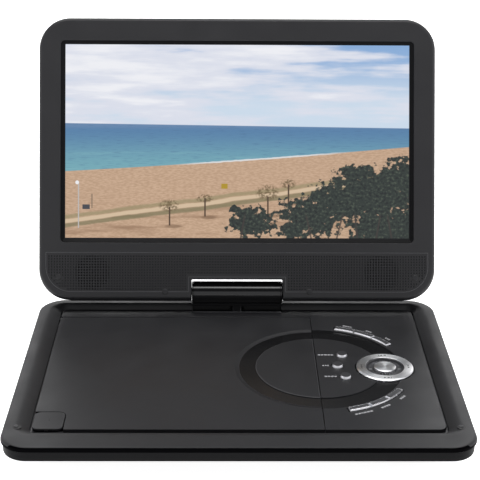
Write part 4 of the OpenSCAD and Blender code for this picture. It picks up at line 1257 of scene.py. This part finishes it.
def column_mesh(name, xs, vs, columns, back):
    """A closed mesh of columns on a grid, each from back up to its own height. None is a hole."""
    bm = bmesh.new()
    made = {}

    def vert(i, j, h):
        if (i, j, h) not in made:
            made[(i, j, h)] = bm.verts.new((xs[i] * MM, vs[j] * MM, h * MM))
        return made[(i, j, h)]

    def quad(*corners, mat=0):
        bm.faces.new([vert(*c) for c in corners]).material_index = mat

    filled = {k: h for k, h in columns.items() if h is not None}
    top = max(filled.values())
    for (i, j), h in filled.items():
        # Lower columns take slot 2 and walls that face a hole take slot 1: in the speaker band both are
        # painted shade.
        quad((i, j, h), (i + 1, j, h), (i + 1, j + 1, h), (i, j + 1, h), mat=0 if h == top else 2)
        quad((i, j, back), (i, j + 1, back), (i + 1, j + 1, back), (i + 1, j, back))
        for di, dj, a, b in ((1, 0, (i + 1, j), (i + 1, j + 1)), (-1, 0, (i, j + 1), (i, j)),
                             (0, 1, (i + 1, j + 1), (i, j + 1)), (0, -1, (i, j), (i + 1, j))):
            other = filled.get((i + di, j + dj), back)
            if other < h:
                mat = 1 if columns.get((i + di, j + dj), 0) is None else 0
                quad((*a, h), (*a, other), (*b, other), (*b, h), mat=mat)
    bmesh.ops.recalc_face_normals(bm, faces=bm.faces)
    mesh = bpy.data.meshes.new(name)
    bm.to_mesh(mesh)
    bm.free()
    obj = linked(name, mesh)
    set_place(obj, LID_PLACE)
    return obj


def band_border():
    """A fine raised line round the textured band."""
    profile = [(0.55, -0.1), (0.5, 0.09), (0.35, 0.13), (0.2, 0.09), (0.15, -0.1)]
    rings = [at_z(band_outline(d), FACE_H + h) for d, h in profile]
    obj = Solid().ring(rings).make("band_border", [FINE_LINE], LID_PLACE)
    return set_on(obj, "screen_lid", "lid_plastic")


def screw_caps():
    solid = Solid()
    for p in CAPS:
        solid.turned([(0, FACE_H - 1.1), (1.8, FACE_H - 1.1), (1.8, FACE_H + 0.12), (1.6, FACE_H + 0.3),
                      (1.1, FACE_H + 0.38), (0, FACE_H + 0.4)], p, 48)
    obj = solid.make("screw_caps_finished", [BEZEL], LID_PLACE)
    set_on(obj, "screen_lid", "rubber", "screw_caps")
    # Dark rings round the caps: painted shade in the gap round each cap.
    rings = Solid()
    for p in CAPS:
        rings.tube(1.85, 2.25, FACE_H - 0.2, FACE_H + 0.035, p, 48)
    obj = rings.make("screw_cap_painted_shade_rings", [SHADOW], LID_PLACE)
    return set_on(obj, "screen_lid", "rubber")


def screen():
    outline = round_box((-116.5, PICTURE_V - 4.8), (116.5, PICTURE_V + PICTURE_H + 4.6), 1, 4)
    obj = Solid().plate(outline, FACE_H - 3.7, FACE_H - 2.1, 0.15).make(
        "screen_panel", [SCREEN], LID_PLACE, flat=True)
    return set_on(obj, "screen_lid", "screen", "lcd_panel")


# ---- small parts' materials, and the finishes of the CAD pieces that stay ----

WELL = plastic("well_satin", (0.020, 0.020, 0.022), 0.38, bump=0.25)
# Darker than the bezel: painted shade on the floors of the band's dimples.
DIMPLE_SHADE = plastic("dimple_painted_shade", (0.006, 0.006, 0.0068), 0.5, bump=0.2, specular=0.22)
# Lighter grey: a painted highlight on the rounded edge of the disc lid's inner field.
EDGE_HIGHLIGHT = plastic("edge_painted_highlight", (0.055, 0.055, 0.058), 0.35, bump=0.1)
# Lighter grey: a painted highlight along the hinge plate's front edge.
PLATE_HIGHLIGHT = plastic("plate_edge_painted_highlight", (0.06, 0.06, 0.063), 0.2, bump=0.05)
# Near-black used as painted shade: the bumpers' shadows, the rings round the screw caps, the pin holes, and
# the speakers seen through the band's holes.
SHADOW = plastic("painted_shade_black", (0.004, 0.004, 0.004), 0.6, bump=0.2)
SURROUND = plastic("window_black", (0.003, 0.003, 0.0035), 0.45, bump=0.1, specular=0.08)
MARK = plastic("mark_grey", (0.045, 0.045, 0.048), 0.4, bump=0.1)
BOARD = plastic("board_green", (0.012, 0.09, 0.035), 0.42, grain=900, bump=0.4, vary=0.3)
CHIP = plastic("chip_black", (0.018, 0.018, 0.019), 0.5, grain=2500, bump=0.6)
WRAP = plastic("battery_blue", (0.02, 0.09, 0.22), 0.3, bump=0.1)
IVORY = plastic("bush_ivory", (0.62, 0.60, 0.54), 0.45, bump=0.15)
YELLOW = plastic("socket_yellow", (0.55, 0.36, 0.03), 0.4, bump=0.15)
PALE = plastic("diffuser", (0.62, 0.62, 0.60), 0.5, bump=0.1)
CONE = plastic("paper_cone", (0.006, 0.006, 0.006), 0.8, grain=1200, bump=0.8)
LENS = plastic("lens_coated", (0.03, 0.05, 0.10), 0.05, grain=400, bump=0.01, coat=1.0)
CAST = plastic("pickup_cast", (0.03, 0.03, 0.033), 0.5, grain=1800, bump=0.6)
FINISH = {
    "rubber_feet": RUBBER, "base_screws": SCREW_STEEL, "battery_pack": WRAP, "main_board": BOARD,
    "board_chips": CHIP, "button_board": BOARD, "tact_switches": CHIP, "dc_jack": CHIP,
    "headphone_jack": CHIP, "av_jack": YELLOW, "usb_port": STEEL, "card_slot": STEEL, "switch_body": CHIP,
    "loader_chassis": STEEL, "loader_dampers": RUBBER, "spindle_motor": STEEL, "guide_rods": SCREW_STEEL,
    "sled_motor": STEEL, "swivel_bush": IVORY, "latch_slider": IVORY, "power_switch": BUTTON,
    "spindle_hub": GLOSS, "optical_pickup": CAST, "pickup_lens": LENS, "lead_screw": BRASS,
    "swivel_post": GLOSS, "hinge_bracket": STEEL, "backlight": PALE, "display_board": BOARD,
    "speakers": SHADOW, "speaker_cones": CONE, "lid_screws": SCREW_STEEL, "hinge_arm_left": STEEL,
    "hinge_arm_right": STEEL,
}
BEVELS = {"rubber_feet": 0.5, "power_switch": 0.2, "usb_port": 0.12, "card_slot": 0.12, "spindle_hub": 0.25,
          "optical_pickup": 0.25, "hinge_bracket": 0.2, "dc_jack": 0.15, "headphone_jack": 0.15,
          "av_jack": 0.15, "loader_chassis": 0.15, "spindle_motor": 0.2, "swivel_bush": 0.2}


def finish_cad_pieces():
    """Gives each CAD piece that shows its finish, and breaks the sharp edges of those that can be seen."""
    for name, material in FINISH.items():
        obj = frame["nodes"][name]
        obj.data.materials.clear()
        obj.data.materials.append(material)
        if name in BEVELS:
            merge = obj.modifiers.new("merge", "DECIMATE")
            merge.decimate_type = "DISSOLVE"
            merge.angle_limit = math.radians(1)
            edge = obj.modifiers.new("edges", "BEVEL")
            edge.width = BEVELS[name] * MM
            edge.segments = 2
            edge.limit_method = "ANGLE"
            edge.angle_limit = math.radians(35)


# ---- stage, light and camera ----

FLOOR_GLOW = 0.9


def floor():
    mesh = bpy.data.meshes.new("floor")
    r = 6.0
    mesh.from_pydata([(-r, -r, 0), (r, -r, 0), (r, r, 0), (-r, r, 0)], [], [(0, 1, 2, 3)])
    obj = linked("floor", mesh)
    material, tree, shader = new_material("floor_white")
    shade = noise(tree, 1.5, 2)
    tree.links.new(tint(tree, ranged(tree, shade, 0, 1), (0.90, 0.90, 0.90), (0.93, 0.93, 0.93)),
                   shader.inputs["Base Color"])
    shader.inputs["Roughness"].default_value = 0.6
    shader.inputs["Emission Color"].default_value = (1, 1, 1, 1)
    shader.inputs["Emission Strength"].default_value = FLOOR_GLOW
    mesh.materials.append(material)


def world():
    """A dark studio with a white sweep round it, low down."""
    w = bpy.data.worlds.new("room")
    bpy.context.scene.world = w
    w.use_nodes = True
    tree = w.node_tree
    tree.nodes.clear()
    out = tree.nodes.new("ShaderNodeOutputWorld")
    back = tree.nodes.new("ShaderNodeBackground")
    coords = tree.nodes.new("ShaderNodeTexCoord")
    split = tree.nodes.new("ShaderNodeSeparateXYZ")
    tree.links.new(coords.outputs["Generated"], split.inputs[0])
    y, z = Value(tree, split.outputs[1]), Value(tree, split.outputs[2])
    colour = over(tree, (0.07, 0.07, 0.073), (0.80, 0.80, 0.82), z.step(0.62, 0.5))
    colour = over(tree, colour, (0.85, 0.85, 0.87), y.step(0.1, 0.6) * z.step(0.8, 0.3))
    tree.links.new(colour, back.inputs["Color"])
    tree.links.new(back.outputs[0], out.inputs["Surface"])


def softbox(name, place, target, size, watts, colour=(1, 1, 1)):
    data = bpy.data.lights.new(name, "AREA")
    data.shape = "RECTANGLE"
    data.size, data.size_y = size
    data.energy = watts
    data.color = colour
    obj = linked(name, data)
    obj.location = place
    obj.rotation_mode = "QUATERNION"
    obj.rotation_quaternion = (Vector(target) - Vector(place)).to_track_quat("-Z", "Y")


def lights():
    softbox("overhead", (0, 0.30, 1.30), (0, 0.05, 0), (1.5, 0.55), 9)
    softbox("rear", (0, 1.4, 0.75), (0, 0.05, 0.05), (1.8, 0.5), 8)
    softbox("front", (0, -0.25, 1.45), (0, 0, 0), (1.3, 0.5), 9)
    softbox("left", (-1.3, -0.3, 0.9), (0, 0, 0.02), (0.5, 0.7), 2, (0.94, 0.93, 1.0))
    softbox("right", (1.3, -0.3, 0.9), (0, 0, 0.02), (0.5, 0.7), 4.5, (0.94, 0.95, 1.0))


LENS_MM = 96.58
CAMERA_MM = (-7.93, -712.13, 378.49)
PITCH_DOWN, YAW, ROLL = 0.386, 0.0126, -0.0072


def camera():
    data = bpy.data.cameras.new("camera")
    data.lens = LENS_MM
    data.sensor_width = 36
    data.clip_start, data.clip_end = 0.05, 30
    obj = linked("camera", data)
    level = math.cos(PITCH_DOWN)
    ahead = Vector((math.sin(YAW) * level, math.cos(YAW) * level, -math.sin(PITCH_DOWN)))
    right = Vector((math.cos(YAW), -math.sin(YAW), 0))
    down = ahead.cross(right)
    turned_right = math.cos(ROLL) * right + math.sin(ROLL) * down
    turned_down = -math.sin(ROLL) * right + math.cos(ROLL) * down
    axes = Matrix((turned_right, -turned_down, -ahead)).transposed().to_4x4()
    obj.matrix_world = Matrix.Translation(Vector(CAMERA_MM) * MM) @ axes
    bpy.context.scene.camera = obj


# ---- assembly ----

base_rim()
deck_frame()
base_bottom()
key_panel()
disc_lid()
open_button()
hinge_plate()
rim_bumpers()
for button, centre in zip(("setup_button", "display_button", "menu_button"), SMALL_AT):
    round_button(button, button, centre)
nav_ring()
centre_button()
nav_floor()
for side in (1, -1):
    for number in range(3):
        arc_key(side, number)
printed_marks()
pin_holes()
hinge_barrel()
barrel_saddle()
end_caps()
lid_bezel()
window_surround()
lid_back()
speaker_band()
band_border()
screw_caps()
screen()
finish_cad_pieces()
floor()
world()
lights()
camera()
bpy.context.scene.view_settings.view_transform = "Standard"
